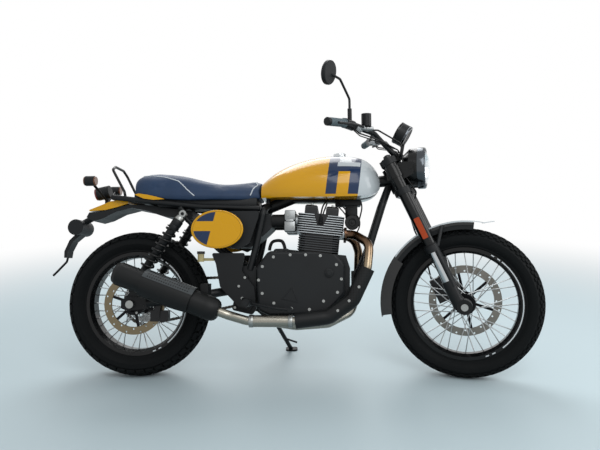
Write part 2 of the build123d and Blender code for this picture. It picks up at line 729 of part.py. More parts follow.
def number_boards():
    """Oval side boards with rounded edges."""
    boards = []
    for side in (-1, 1):
        board = extrude(Plane.XZ * Ellipse(112, 82), amount=6, both=True)
        board = fillet(board.edges(), 4)
        boards.append(Pos(386, side * (180 + 6), 645) * board)
    return boards


def rear_fender():
    """Inner guard over the rear wheel that runs back to the lamp and the number plate arm."""
    upper = [(250, 738), (120, 752), (60, 764), (-46, 768), (-100, 752), (-150, 740), (-224, 734)]
    lower = [(-236, 712), (-205, 694), (-160, 706), (-100, 736), (-28, 754), (42, 740), (120, 714),
             (250, 700)]
    return side_plate(upper + lower, -70, 70)


def tail_panels():
    """Painted tail cowl: the strips below the seat and the tip behind it."""
    strip = side_plate([(2, 806), (20, 811), (60, 805), (100, 796), (138, 785), (88, 782), (43, 788)],
                       120.4, 124)
    tip = side_plate([(-46, 782), (-90, 789), (-125, 785), (-165, 769), (-226, 745), (-224, 740),
                      (-150, 745), (-100, 757), (-48, 773)], -68, 68)
    return pair(strip) + [tip]


def tail_lamps():
    """Round brake lamp on its stalk and the two turn lamps."""
    solid = rod((-156, 0, 838), (-214, 0, 826), 30)
    solid += block((-176, -12, 771.2), (-160, 12, 818))
    for side in (-1, 1):
        solid += rod((-168, side * 4, 792), (-187, side * TURN_Y, TURN_Z), 6)
        solid += rod((TURN_FRONT, side * TURN_Y, TURN_Z), (TURN_BACK, side * TURN_Y, TURN_Z), 22)
    return solid


def plate_holder():
    """Pod behind the tail with the curved arm and the thin stay for the number plate."""
    solid = rod((-290, -60, 668), (-290, 60, 668), 36)
    solid += pipe([(-232, 0, 716), (-262, 0, 700), (-300, 0, 680)], 14, 20)
    solid += side_plate([(-290, 650), (-330, 610), (-352, 560), (-352, 530), (-340, 530), (-336, 560),
                         (-314, 604), (-270, 640)], -30, 30)
    solid += pipe([(-346, 0, 540), (-352, 0, 512), (-392, 0, 470), (-414, 0, 448)], 5, 12)
    return solid - side_plate([(-300, 800), (-100, 800), (-100, 640), (-205, 689), (-237, 712), (-225, 739)],
                              -80, 80)


# ---------------------------------------------------------------- footrests and controls
def footrests():
    """Side plates bolted to the pivot plates with the rider's pegs."""
    y = FOOT_PLATE_Y
    outline = [(352, 546), (498, 546), (486, 468), (540, 400), (546, 340), (520, 300), (470, 318),
               (392, 400), (372, 500)]
    plate = side_plate(outline, y, y + 8, 8)
    solid = plate + rod((500, RAIL_Y + 6, 330), (500, y + 2, 330), 12)
    solid += rod((500, RAIL_Y + 6, 440), (500, y + 2, 440), 12)
    solid += rod((520, y + 6, 330), (520, y + 130, 336), 11)
    solid += rod((520, y + 34, 331), (520, y + 126, 336), 16)
    right = mirror(solid, about=Plane.XZ)
    pedal = pipe([(490, -y - 7, 350), (530, -y - 48, 332), (640, -208, 312), (700, -212, 308)],
                 6, 14)
    right += pedal + rod((700, -196, 308), (700, -232, 308), 9)
    lever = pipe([(490, y + 7, 350), (530, y + 48, 332), (640, 200, 312), (700, 205, 308)], 6, 14)
    left = solid + lever + rod((700, 190, 308), (700, 230, 308), 9)
    return [right, left]


def rear_caliper():
    """Rear caliper on its bracket in front of the axle, inside the right arm."""
    cx, cz = 118, REAR_AXLE.Z - 52
    body = block((cx - 40, REAR_DISC_Y - 18, cz - 24), (cx + 40, REAR_DISC_Y + 14, cz + 24))
    body += side_plate([(96, 262), (120, 262), (124, 322), (96, 322)], -SWING_Y + SWING_TUBE + 1,
                       REAR_DISC_Y - 10, 4)
    slot = ring(20, REAR_DISC_R + 6, REAR_DISC_Y - 5, REAR_DISC_Y + 5, tuple(REAR_AXLE))
    return body - slot


def brake_reservoir():
    """Cup with its cap for the rear brake, on a strap behind the right footrest plate."""
    x, y, z = 306, -FOOT_PLATE_Y - 4, 508
    cup = rod((x, y, z), (x, y, z + 34), 14) + rod((x, y, z + 34), (x, y, z + 45), 17)
    strap_y = -FOOT_PLATE_Y + SEAT_GAP
    return cup + block((x, strap_y, z + 4), (x + 98, strap_y + 3, z + 16))


def drive_chain():
    """Closed loop of chain round the two sprockets, on the left."""
    front_x, front_z = DRIVE_SPROCKET[0], DRIVE_SPROCKET[1] - REAR_AXLE.Z
    length = math.hypot(front_x, front_z)
    rise = math.degrees(math.atan2(front_z, front_x))

    def belt(grow):
        rear, front = SPROCKET_R + CHAIN_CLEAR + grow, DRIVE_SPROCKET_R + CHAIN_CLEAR + grow
        lean = math.acos((rear - front) / length)
        c, d = math.cos(lean), math.sin(lean)
        strip = make_face(Polyline((rear * c, rear * d), (length + front * c, front * d),
                                   (length + front * c, -front * d), (rear * c, -rear * d), close=True))
        return strip + Circle(rear) + Pos(length, 0) * Circle(front)

    face = belt(CHAIN_H) - belt(0)
    loop = extrude(Plane.XZ * Rot(0, 0, rise) * face, amount=CHAIN_W / 2, both=True)
    return Pos(0, SPROCKET_Y, REAR_AXLE.Z) * loop


# ---------------------------------------------------------------- steering group
def leg_point(s, side, t=None):
    return upright_axis(s, LEG_OFFSET if t is None else t, side * LEG_Y)


def yokes():
    """Upper and lower yokes clamped on the legs, the stem and the handlebar's clamps."""
    span = UPPER_YOKE - LOWER_YOKE
    column = Plane(origin=upright_axis(LOWER_YOKE), x_dir=(0, 1, 0), z_dir=STEER_DIR)
    solid = Pos(0, 0, span / 2 + YOKE_T / 2) * Cylinder(STEM_R, span, rotation=(0, 0, 30))
    for z in (YOKE_T / 2, span + YOKE_T / 2):
        solid += Pos(0, -LEG_OFFSET / 2, z) * Box(2 * LEG_Y, 56, YOKE_T)
        for side in (-1, 1):
            solid += Pos(side * LEG_Y, -LEG_OFFSET, z) * Cylinder(FORK_OUTER_R + YOKE_WALL, YOKE_T)
    for side in (-1, 1):
        solid -= Pos(side * LEG_Y, -LEG_OFFSET, span / 2) * Cylinder(FORK_OUTER_R + RUN_FIT, 2 * span)
    bar = column.to_local_coords(Vector(BAR_POINTS[-1][0], 0, BAR_POINTS[-1][2]))
    top = span + YOKE_T
    ring = Cylinder(CLAMP_R, 28, rotation=(0, 90, 0)) - Cylinder(BAR_R + RUN_FIT, 28, rotation=(0, 90, 0))
    for side in (-1, 1):
        solid += Pos(side * CLAMP_Y, bar.Y + 8, top - 11) * Box(22, 36, 14)
        solid += Pos(side * CLAMP_Y, bar.Y, bar.Z - CLAMP_R) * Box(20, 24, 8)
        solid += Pos(side * CLAMP_Y, bar.Y, bar.Z) * ring
    return column * solid


def fork_outers():
    """Outer fork tubes with their top caps."""
    legs = []
    for side in (-1, 1):
        tube = rod(leg_point(FORK_OUTER_END, side), leg_point(FORK_TOP, side), FORK_OUTER_R)
        tube -= rod(leg_point(FORK_OUTER_END - 5, side), leg_point(FORK_TOP - 40, side),
                    FORK_INNER_R + RUN_FIT)
        tube += rod(leg_point(FORK_TOP - 2, side), leg_point(FORK_TOP + 10, side), 16)
        legs.append(tube)
    return legs


def fork_inners():
    """Bright stanchions that stand in the axle lugs."""
    return [rod(leg_point(LUG_TOP - LUG_SOCKET + SEAT_GAP, side), leg_point(FORK_OUTER_END + 160, side),
                FORK_INNER_R) for side in (-1, 1)]


def axle_lugs():
    """Black castings at the fork's feet that hold the front axle."""
    axle_s = (FRONT_AXLE - upright_axis(0)).dot(STEER_DIR)
    lugs = []
    for side in (-1, 1):
        lug = rod(leg_point(axle_s + 10, side), leg_point(LUG_TOP, side), FORK_OUTER_R)
        lug += rod((FRONT_AXLE.X, side * (LEG_Y - 26), FRONT_AXLE.Z),
                   (FRONT_AXLE.X, side * LUG_END_Y, FRONT_AXLE.Z), 32)
        lug += rod(leg_point(axle_s + 60, side, LEG_OFFSET), FRONT_AXLE + Vector(0, side * LEG_Y, 0), 22)
        lug -= rod((FRONT_AXLE.X, -200, FRONT_AXLE.Z), (FRONT_AXLE.X, 200, FRONT_AXLE.Z),
                   AXLE_R + AXLE_FIT)
        lugs.append(lug - rod(leg_point(LUG_TOP - LUG_SOCKET, side), leg_point(LUG_TOP + 5, side),
                              FORK_INNER_R + RUN_FIT))
    return lugs


def fork_reflectors():
    """Long reflectors on the outer sides of the fork."""
    plates = []
    for side in (-1, 1):
        face = side * (LEG_Y + FORK_OUTER_R)
        middle = leg_point(REFLECTOR_S, side)
        plate = Pos(middle.X, face, middle.Z) * Rot(0, -RAKE, 0) * Box(24, 9, 96)
        plate = fillet(plate.edges().filter_by(Axis.Y), 4)
        tube = rod(leg_point(500, side), leg_point(900, side), FORK_OUTER_R + SEAT_GAP)
        plates.append(plate - tube)
    return plates


def front_axle():
    solid = rod((FRONT_AXLE.X, -LUG_END_Y - 4, FRONT_AXLE.Z), (FRONT_AXLE.X, LUG_END_Y + 4, FRONT_AXLE.Z),
                AXLE_R)
    for side in (-1, 1):
        solid += rod((FRONT_AXLE.X, side * (LUG_END_Y + SEAT_GAP), FRONT_AXLE.Z),
                     (FRONT_AXLE.X, side * (LUG_END_Y + 9), FRONT_AXLE.Z), 15)
    return solid


def arc_band(r_in, r_out, a_start, a_end, y_low, y_high, centre):
    """Part of a ring about the wheel axis between two angles counted from +X."""
    a, b = math.radians(a_start), math.radians(a_end)
    m = (a + b) / 2

    def at(r, angle):
        return (r * math.cos(angle), r * math.sin(angle))

    edges = [ThreePointArc(at(r_out, a), at(r_out, m), at(r_out, b)), Line(at(r_out, b), at(r_in, b)),
             ThreePointArc(at(r_in, b), at(r_in, m), at(r_in, a)), Line(at(r_in, a), at(r_out, a))]
    solid = extrude(Plane.XZ * make_face(Curve() + edges), amount=-(y_high - y_low))
    return Pos(centre[0], y_low, centre[2]) * solid


def front_fender():
    """Curved guard over the front wheel with turned-down edges and a tip that turns up."""
    c = tuple(FRONT_AXLE)
    solid = arc_band(FENDER_R, FENDER_R + FENDER_T, 76, 190, -FENDER_HALF, FENDER_HALF, c)
    for side in (-1, 1):
        low, high = sorted((side * FENDER_HALF, side * (FENDER_HALF - FENDER_T)))
        solid += arc_band(FENDER_R - FENDER_EDGE, FENDER_R + FENDER_T, 84, 188, low, high, c)
        solid += arc_band(FENDER_R - FLAP_DEPTH, FENDER_R + FENDER_T, FLAP_START, 189, low, high, c)
    angle = math.radians(77)
    r = FENDER_R + FENDER_T / 2
    lip = Rot(0, -8, 0) * Box(50, 2 * FENDER_HALF - 6, FENDER_T)
    tip = FRONT_AXLE + Vector(r * math.cos(angle) + 20, 0, r * math.sin(angle) + 2)
    return solid + Pos(*tip) * lip


def fender_stays():
    """Guards in front of the stanchions, clamped below the outer tubes, and the fender's arms."""
    solids = []
    high = FORK_OUTER_END - 3
    for side in (-1, 1):
        guard = (rod(leg_point(GUARD_LOW, side), leg_point(high, side), GUARD_R)
                 - rod(leg_point(GUARD_LOW - 10, side), leg_point(high + 60, side), GUARD_R - GUARD_WALL))
        leg = Plane(origin=leg_point(GUARD_LOW, side), x_dir=(0, 1, 0), z_dir=STEER_DIR)
        guard = guard & leg * Pos(0, -45, (high - GUARD_LOW) / 2) * Box(50, 76, high - GUARD_LOW + 20)
        clamp = (rod(leg_point(FORK_OUTER_END - 34, side), leg_point(FORK_OUTER_END - 4, side), GUARD_R)
                 - rod(leg_point(500, side), leg_point(700, side), FORK_INNER_R + RUN_FIT))
        foot = FRONT_AXLE + Vector(-92, side * (FENDER_HALF + 8 + SEAT_GAP), 342)
        arm = rod(leg_point(FORK_OUTER_END - 18, side, LEG_OFFSET + GUARD_R - 4), foot, 8)
        solids.append(guard + clamp + arm)
    return solids


def bar_tube(grow=0.0):
    right = [(x, -y, z) for x, y, z in reversed(BAR_POINTS)]
    return pipe(list(BAR_POINTS) + right, BAR_R + grow, 30)


def handlebar():
    """One bent tube held by two clamps on the upper yoke."""
    return bar_tube()


def along_bar(y):
    """Point on the right half of the bar at the given distance from the middle plane."""
    for outer, inner in zip(BAR_POINTS, BAR_POINTS[1:]):
        if y >= inner[1] or inner is BAR_POINTS[-1]:
            a, b = Vector(*inner), Vector(*outer)
            p = a + (b - a) * ((y - a.Y) / (b.Y - a.Y))
            return Vector(p.X, -p.Y, p.Z)


def grips():
    """Rubber grips with round bar ends."""
    end = BAR_BENDS[0][1]
    solid = rod(along_bar(320), along_bar(end - 3), GRIP_R)
    solid += rod(along_bar(end - 4), along_bar(end + 9), GRIP_R + 1)
    return pair(solid - bar_tube(RUN_FIT))


def hand_controls():
    """Switch housings, levers and the front brake's master cylinder."""
    right = rod(along_bar(266), along_bar(316), 21) + rod(along_bar(226), along_bar(262), 17)
    right += rod(along_bar(262), along_bar(268), 14)
    reach = ((240, 10, 0), (250, 40, -4), (330, 54, -10), (422, 46, -8))
    lever = pipe([tuple(along_bar(y) + Vector(x, 0, z)) for y, x, z in reach], 5.5, 12)
    right += lever + rod(along_bar(290) + Vector(4, 0, 12), mirror_base(), 9)
    left = mirror(right, about=Plane.XZ)
    left_base = Vector(mirror_base().X, -mirror_base().Y, mirror_base().Z)
    left -= rod(left_base - Vector(0, 0, MIRROR_THREAD_L), left_base + Vector(0, 0, 5), MIRROR_THREAD_R)
    right += rod(along_bar(230) + Vector(28, 0, 8), along_bar(230) + Vector(28, 0, 60), 21)
    return [right - bar_tube(RUN_FIT), left - bar_tube(RUN_FIT)]


def mirror_base():
    return along_bar(290) + Vector(4, 0, MIRROR_RISE)


def mirrors():
    """Round mirror on a bent stalk, right side."""
    base = mirror_base()
    elbow = MIRROR_C + Vector(38, 35, -22)
    stalk = pipe([tuple(base), tuple(base + Vector(0, 0, 40)), tuple(elbow), tuple(MIRROR_C)], 5, 18)
    facing = Vector(-0.95, 0.25, 0.22).normalized()
    shell = rod(MIRROR_C - facing * 10, MIRROR_C + facing * 10, MIRROR_R)
    return stalk + fillet(shell.edges().group_by(SortBy.LENGTH)[-1], 6)


def headlight_shell():
    """Deep round bucket with its rim, and the ears clamped on the fork."""
    c = LAMP_C
    solid = rod(c + Vector(-6, 0, 0), c + Vector(52, 0, 0), LAMP_R)
    solid += cone(c + Vector(-34, 0, 0), c + Vector(-6, 0, 0), 60, LAMP_R)
    solid += rod(c + Vector(52, 0, 0), c + Vector(62, 0, 0), LAMP_R + 3)
    solid -= rod(c + Vector(30, 0, 0), c + Vector(70, 0, 0), LAMP_R - LENS_WALL)
    for side in (-1, 1):
        low, high = sorted((side * (LAMP_R + 4), side * (LAMP_R + 10)))
        outline = [(-96, -56), (-46, -62), (20, -28), (20, 22), (-36, 24), (-100, -13)]
        ear = side_plate([(c.X + x, c.Z + z) for x, z in outline], low, high, 5)
        clamp = rod(leg_point(UPPER_YOKE - 65, side), leg_point(UPPER_YOKE - 17, side), FORK_OUTER_R + 5)
        bolt = rod((c.X + 6, side * (LAMP_R - 8), c.Z), (c.X + 6, side * (LAMP_R + 14), c.Z), 9)
        solid += ear + clamp + bolt
        solid -= rod(leg_point(LOWER_YOKE, side), leg_point(FORK_TOP, side), FORK_OUTER_R + RUN_FIT)
    return solid


def headlight_lens():
    """Clear glass whose front is a cap of a sphere."""
    r, base, face, tip = LAMP_R - LENS_WALL - SEAT_GAP, 46, 60, 84
    rise = tip - face
    ball = (r**2 + rise**2) / (2 * rise)
    half = math.asin(r / ball) / 2
    middle = (tip - ball + ball * math.cos(half), ball * math.sin(half))
    profile = Curve() + [Line((base, 0), (base, r)), Line((base, r), (face, r)),
                         ThreePointArc((face, r), middle, (tip, 0)), Line((tip, 0), (base, 0))]
    return Pos(*LAMP_C) * revolve(make_face(profile), axis=Axis.X)


def instrument():
    """Round dial in a deep cup, tilted to the rider, with its bracket."""
    way = Vector(-0.86, 0, 0.51).normalized()
    foot, bend = (upright_axis(UPPER_YOKE + YOKE_T / 2, t) for t in (41.5, 67))
    bracket = pipe([tuple(foot), tuple(bend), tuple(DIAL_C - way * 12)], 8, 16)
    return rod(DIAL_C - way * 26, DIAL_C + way * 22, 50) + bracket


def front_caliper():
    """Caliper behind the left leg, on two lugs of the fork."""
    s, t = 432, -34
    body = Pos(*upright_axis(s, t, FRONT_DISC_Y)) * Rot(0, -RAKE, 0) * Box(54, 50, 110)
    for up in (-38, 38):
        seat_at = upright_axis(s + up, LEG_OFFSET - 26, LEG_Y - 12)
        body += rod(upright_axis(s + up, t, FRONT_DISC_Y + 20), seat_at, 8)
    slot = ring(20, FRONT_DISC_R + 5, FRONT_DISC_Y - 5, FRONT_DISC_Y + 5, tuple(FRONT_AXLE))
    fork = rod(leg_point(300, 1), leg_point(700, 1), FORK_OUTER_R + SEAT_GAP)
    return body - slot - fork


def cord(points, radius, bend):
    """Cable or hose swept along a path with wide bends."""
    path = FilletPolyline(*points, radius=bend)
    return sweep(Plane(origin=path @ 0, z_dir=path % 0) * Circle(radius), path)


def control_cables():
    """Throttle and clutch cables and switch wires, from the hand controls to behind the headlamp."""
    cords = []
    for radius, drop, inward in ((CABLE_R, 0, 0), (WIRE_R, 9, 12)):
        start = along_bar(292) + Vector(16, 0, -12 - drop)
        route = [tuple(start), (1050, -266 + inward, 1064 - drop), (1112, -186 + inward, 1046 - drop),
                 (1186, -84 + inward, 1008), (1210, -50 + inward, 960)]
        cords.append(cord(route, radius, 14))
    housing = hand_controls()[0] + bar_tube(RUN_FIT)
    cords = [c - housing - headlight_shell() for c in cords]
    return cords + [mirror(c, about=Plane.XZ) for c in cords]


def brake_hose():
    """Front brake hose, from the master cylinder past the headlamp and down to the left caliper."""
    start = along_bar(234) + Vector(12, 0, -8)
    route = [tuple(start), (1116, -186, 1084), (1200, -84, 1036), (1212, -83, 900), (1262, -66, 822),
             (1240, -36, 740), (1230, 30, 700), (1240, 70, 650), (1276, 72, 570), (1302, 73, 470),
             (1312, 74, 424)]
    return cord(route, HOSE_R, 18) - hand_controls()[0] - bar_tube(RUN_FIT) - front_caliper()


def lamp_lenses():
    """Red brake lens and the four amber turn lenses are thin caps on the tail lamps."""
    way = (Vector(-214, 0, 826) - Vector(-156, 0, 838)).normalized()
    back = Vector(-214, 0, 826) + way * SEAT_GAP
    lenses = [rod(back, back + way * 7, 28)]
    for side in (-1, 1):
        for x, step in ((TURN_BACK - SEAT_GAP, -1), (TURN_FRONT + SEAT_GAP, 1)):
            lens = rod((x, side * TURN_Y, TURN_Z), (x + step * 6, side * TURN_Y, TURN_Z), 20)
            lenses.append(fillet(lens.edges().sort_by(Axis.X)[0 if step < 0 else -1], 2.5))
    return lenses


# ---------------------------------------------------------------- the list of nodes
def build():
    rear, front = tuple(REAR_AXLE), tuple(FRONT_AXLE)
    chassis = {
        "frame": frame_main() + stand_bracket(),
        "rear_subframe": rear_subframe() + grab_rail(),
        "swingarm": swingarm(),
        "swingarm_pivot": swingarm_pivot(),
        "rear_axle": rear_axle(),
        "rear_shocks": rear_shocks(),
        "engine_block": engine_block(),
        "engine_covers": engine_covers(),
        "cylinders": cylinders(),
        "cylinder_head": cylinder_head(),
        "throttle_bodies": throttle_bodies(),
        "airbox": airbox(),
        "exhaust_headers": exhaust_headers(),
        "header_shield": header_shield(),
        "muffler": muffler(),
        "fuel_tank": fuel_tank(),
        "fuel_cap": fuel_cap(),
        "seat": seat(),
        "side_covers": side_covers(),
        "number_boards": number_boards(),
        "rear_fender": rear_fender(),
        "tail_panels": tail_panels(),
        "tail_lamps": tail_lamps(),
        "lamp_lenses": lamp_lenses(),
        "plate_holder": plate_holder(),
        "footrests": footrests(),
        "rear_caliper": rear_caliper(),
        "brake_reservoir": brake_reservoir(),
        "drive_chain": drive_chain(),
    }
    stand = {"side_stand": side_stand() + stand_pad()}
    steering = {
        "yokes": yokes(),
        "fork_outers": fork_outers(),
        "fork_inners": fork_inners(),
        "axle_lugs": axle_lugs(),
        "fork_reflectors": fork_reflectors(),
        "front_axle": front_axle(),
        "front_fender": front_fender(),
        "fender_stays": fender_stays(),
        "handlebar": handlebar(),
        "grips": grips(),
        "hand_controls": hand_controls(),
        "mirrors": mirrors(),
        "headlight_shell": headlight_shell(),
        "headlight_lens": headlight_lens(),
        "instrument": instrument(),
        "front_caliper": front_caliper(),
        "control_cables": control_cables(),
        "brake_hose": brake_hose(),
    }
    front_wheel = {
        "front_tyre": tyre(FRONT_TYRE_R, FRONT_TYRE_W, FRONT_RIM_R, FRONT_RIM_W, FRONT_CROWN_R, front),
        "front_rim": rim(FRONT_RIM_R, FRONT_RIM_W, front),
        "front_hub": spoked_hub(FRONT_HUB_R, FRONT_HUB_W, FRONT_RIM_R, front),
        "front_disc": brake_disc(FRONT_DISC_R, FRONT_DISC_Y, FRONT_HUB_R, front),
    }
    rear_wheel = {
        "rear_tyre": tyre(REAR_TYRE_R, REAR_TYRE_W, REAR_RIM_R, REAR_RIM_W, REAR_CROWN_R, rear),
        "rear_rim": rim(REAR_RIM_R, REAR_RIM_W, rear),
        "rear_hub": rear_hub_and_sprocket(rear),
        "rear_disc": brake_disc(REAR_DISC_R, REAR_DISC_Y, REAR_HUB_R, rear),
    }
    return chassis, stand, steering, front_wheel, rear_wheel


def main():
    os.makedirs("parts", exist_ok=True)
    chassis, stand, steering, front_wheel, rear_wheel = build()
    placed = {}
    for group, steered in ((chassis, False), (stand, False), (rear_wheel, False),
                           (steering, True), (front_wheel, True)):
        for name, shape in group.items():
            shapes = shape if isinstance(shape, list) else [shape]
            solids = [park(solid, steered) for part in shapes for solid in part.solids()]
            placed[name] = Compound(children=solids) if len(solids) > 1 else solids[0]
    boxes = [shape.bounding_box() for shape in placed.values()]
    middle = Vector((min(b.min.X for b in boxes) + max(b.max.X for b in boxes)) / 2,
                    (min(b.min.Y for b in boxes) + max(b.max.Y for b in boxes)) / 2,
                    min(b.min.Z for b in boxes))
    print("origin offset", middle)
    for name, shape in placed.items():
        export_step(shape.translate(middle * -1), f"parts/{name}.step")


main()
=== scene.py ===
import json
from math import acos, asin, atan2, copysign, cos, pi, radians, sin, sqrt

import bpy
from mathutils import Matrix, Vector


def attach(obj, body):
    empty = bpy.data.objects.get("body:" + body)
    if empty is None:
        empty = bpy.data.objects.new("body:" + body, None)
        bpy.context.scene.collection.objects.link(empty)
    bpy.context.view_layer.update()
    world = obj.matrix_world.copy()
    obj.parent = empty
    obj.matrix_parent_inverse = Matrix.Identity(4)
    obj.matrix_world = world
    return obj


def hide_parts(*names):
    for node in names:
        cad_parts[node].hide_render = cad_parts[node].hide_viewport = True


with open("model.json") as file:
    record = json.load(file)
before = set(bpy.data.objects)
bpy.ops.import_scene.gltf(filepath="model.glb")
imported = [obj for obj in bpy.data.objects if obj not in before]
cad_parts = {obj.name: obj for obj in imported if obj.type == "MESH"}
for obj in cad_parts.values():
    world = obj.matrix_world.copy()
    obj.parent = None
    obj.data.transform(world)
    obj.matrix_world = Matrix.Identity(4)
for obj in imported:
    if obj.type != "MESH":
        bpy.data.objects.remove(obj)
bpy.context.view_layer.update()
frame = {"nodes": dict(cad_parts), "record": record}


# ---------- the machine's own axes
# The motorcycle leans on its stand with the bars turned. Pieces are shaped upright and straight
# ahead, in metres: x forward from the rear axle, y to the rider's left, z up from the ground.
def spin(angle, axis):
    """A turn in radians about an axis."""
    return Matrix.Rotation(angle, 4, axis)


def moved(step):
    """A shift by a vector."""
    return Matrix.Translation(step)


joints = {joint["name"]: joint for joint in frame["record"]["behaviour"]["joints"]}
WHEELBASE, TRAIL = 1.46, 0.105
RAKE = radians(24.9)
REAR_RADIUS, FRONT_RADIUS = 0.324, 0.33
left = Vector(joints["rear_wheel_spin"]["axis"]).normalized()
steer_axis = Vector(joints["steering"]["axis"]).normalized()
steer_point = Vector(joints["steering"]["pos_m"])
across = left.cross(steer_axis)
forward = across * cos(RAKE) - steer_axis * sin(RAKE)
upward = across * sin(RAKE) + steer_axis * cos(RAKE)
ground = Vector(joints["rear_wheel_spin"]["pos_m"]) - upward * REAR_RADIUS
UPRIGHT = Matrix((forward, left, upward)).transposed().to_4x4()
UPRIGHT.translation = ground
front_axis = Vector(joints["front_wheel_spin"]["axis"]).normalized()
turned = atan2(steer_axis.dot(left.cross(front_axis)), left.dot(front_axis))
STEERED = moved(steer_point) @ spin(turned, steer_axis) @ moved(-steer_point) @ UPRIGHT
REAR_AXLE = Vector((0, 0, REAR_RADIUS))
FRONT_AXLE = Vector((WHEELBASE, 0, FRONT_RADIUS))
PLACES = {"chassis": UPRIGHT, "rear_wheel": UPRIGHT, "steering": STEERED, "front_wheel": STEERED}


# ---------- camera, floor and light
# A plain pale studio: one seamless floor that fades to white, a white surround that only rays
# straight from the camera and mirror-like ones see at full strength, and three soft lamps.
def colour(text):
    """An sRGB hex colour as linear RGBA."""
    parts = [int(text[i:i + 2], 16) / 255 for i in (0, 2, 4)]
    return [c / 12.92 if c <= 0.04045 else ((c + 0.055) / 1.055) ** 2.4 for c in parts] + [1.0]


def add(tree, kind, inputs=None, **settings):
    """One shader node with its settings, and its inputs as values, or nodes or sockets to link."""
    node = tree.nodes.new("ShaderNode" + kind)
    for name, value in settings.items():
        setattr(node, name, value)
    for key, value in (inputs or {}).items():
        if isinstance(value, bpy.types.Node):
            value = value.outputs[0]
        if isinstance(value, bpy.types.NodeSocket):
            tree.links.new(value, node.inputs[key])
        else:
            node.inputs[key].default_value = value
    return node


def calc(tree, kind, *values):
    """One arithmetic node."""
    return add(tree, "Math", dict(enumerate(values)), operation=kind)


def vector(tree, kind, *values):
    """One node of vector arithmetic; for a length or a dot product, its number."""
    node = add(tree, "VectorMath", dict(enumerate(values)), operation=kind)
    return node.outputs["Value"] if kind in ("LENGTH", "DOT_PRODUCT") else node


def clear_selection():
    """Object mode with nothing selected."""
    if bpy.context.object and bpy.context.object.mode != "OBJECT":
        bpy.ops.object.mode_set(mode="OBJECT")
    bpy.ops.object.select_all(action="DESELECT")


def show(thing):
    """Puts a new object in the scene."""
    bpy.context.scene.collection.objects.link(thing)


CAMERA_AT = Vector((0.1904, -2.6691, 1.0165))
YAW, PITCH, ROLL = radians(3.18), radians(7.76), radians(-0.59)
camera_data = bpy.data.cameras.new("camera")
camera_data.sensor_width = 36.0
camera_data.lens = 34.32
camera = bpy.data.objects.new("camera", camera_data)
camera.matrix_world = moved(CAMERA_AT) @ spin(YAW, "Z") @ spin(pi / 2 - PITCH, "X") @ spin(ROLL, "Z")
show(camera)
bpy.context.scene.camera = camera
bpy.context.scene.view_settings.view_transform = "Standard"

SURROUND = 0.56
world = bpy.data.worlds.new("studio")
bpy.context.scene.world = world
world.use_nodes = True
sky = world.node_tree
sky.nodes.clear()
path = add(sky, "LightPath")
mirrored = calc(sky, "MAXIMUM", path.outputs["Is Glossy Ray"], path.outputs["Is Transmission Ray"])
seen = calc(sky, "MAXIMUM", path.outputs["Is Camera Ray"], mirrored)
dim = add(sky, "Background", {"Color": colour("F4F7FA"), "Strength": SURROUND})
bright = add(sky, "Background", {"Color": colour("FFFFFF"), "Strength": 1.0})
mixed = add(sky, "MixShader", {0: seen, 1: dim, 2: bright})
add(sky, "OutputWorld", {"Surface": mixed})

FLOOR_REACH = 9.0
FADE_START, FADE_END = 1.7, 4.4
clear_selection()
bpy.ops.mesh.primitive_plane_add(size=2 * FLOOR_REACH, location=(0, 0, 0))
floor = bpy.context.object
floor.name = "studio_floor"
floor_material = bpy.data.materials.new("pale_floor")
floor_material.use_nodes = True
tree = floor_material.node_tree
shader = tree.nodes["Principled BSDF"]
shader.inputs["Base Color"].default_value = colour("ADBDC2")
shader.inputs["Roughness"].default_value = 0.5
place = add(tree, "TexCoord")
reach = vector(tree, "LENGTH", place.outputs["Object"])
fade = add(tree, "MapRange", {"Value": reach, 1: FADE_START, 2: FADE_END, 3: 0.0, 4: 1.0},
    interpolation_type="SMOOTHSTEP")
glow = add(tree, "Emission", {"Color": colour("FFFFFF"), "Strength": 1.0})
blended = add(tree, "MixShader", {0: fade, 1: shader.outputs[0], 2: glow})
tree.links.new(blended.outputs[0], tree.nodes["Material Output"].inputs["Surface"])
floor.data.materials.append(floor_material)
bpy.ops.object.transform_apply(location=True, rotation=True, scale=True)

for name, place, size, power in (("key", (1.2, -3.0, 3.4), 2.6, 86.0), ("back", (-0.4, 2.6, 3.6), 3.0, 120.0),
        ("front", (3.2, -0.6, 1.8), 1.8, 35.0)):
    lamp = bpy.data.lights.new(name, "AREA")
    lamp.size = size
    lamp.energy = power
    holder = bpy.data.objects.new(name, lamp)
    holder.location = place
    holder.rotation_euler = (Vector((0, 0, 0.6)) - Vector(place)).to_track_quat("-Z", "Y").to_euler()
    show(holder)


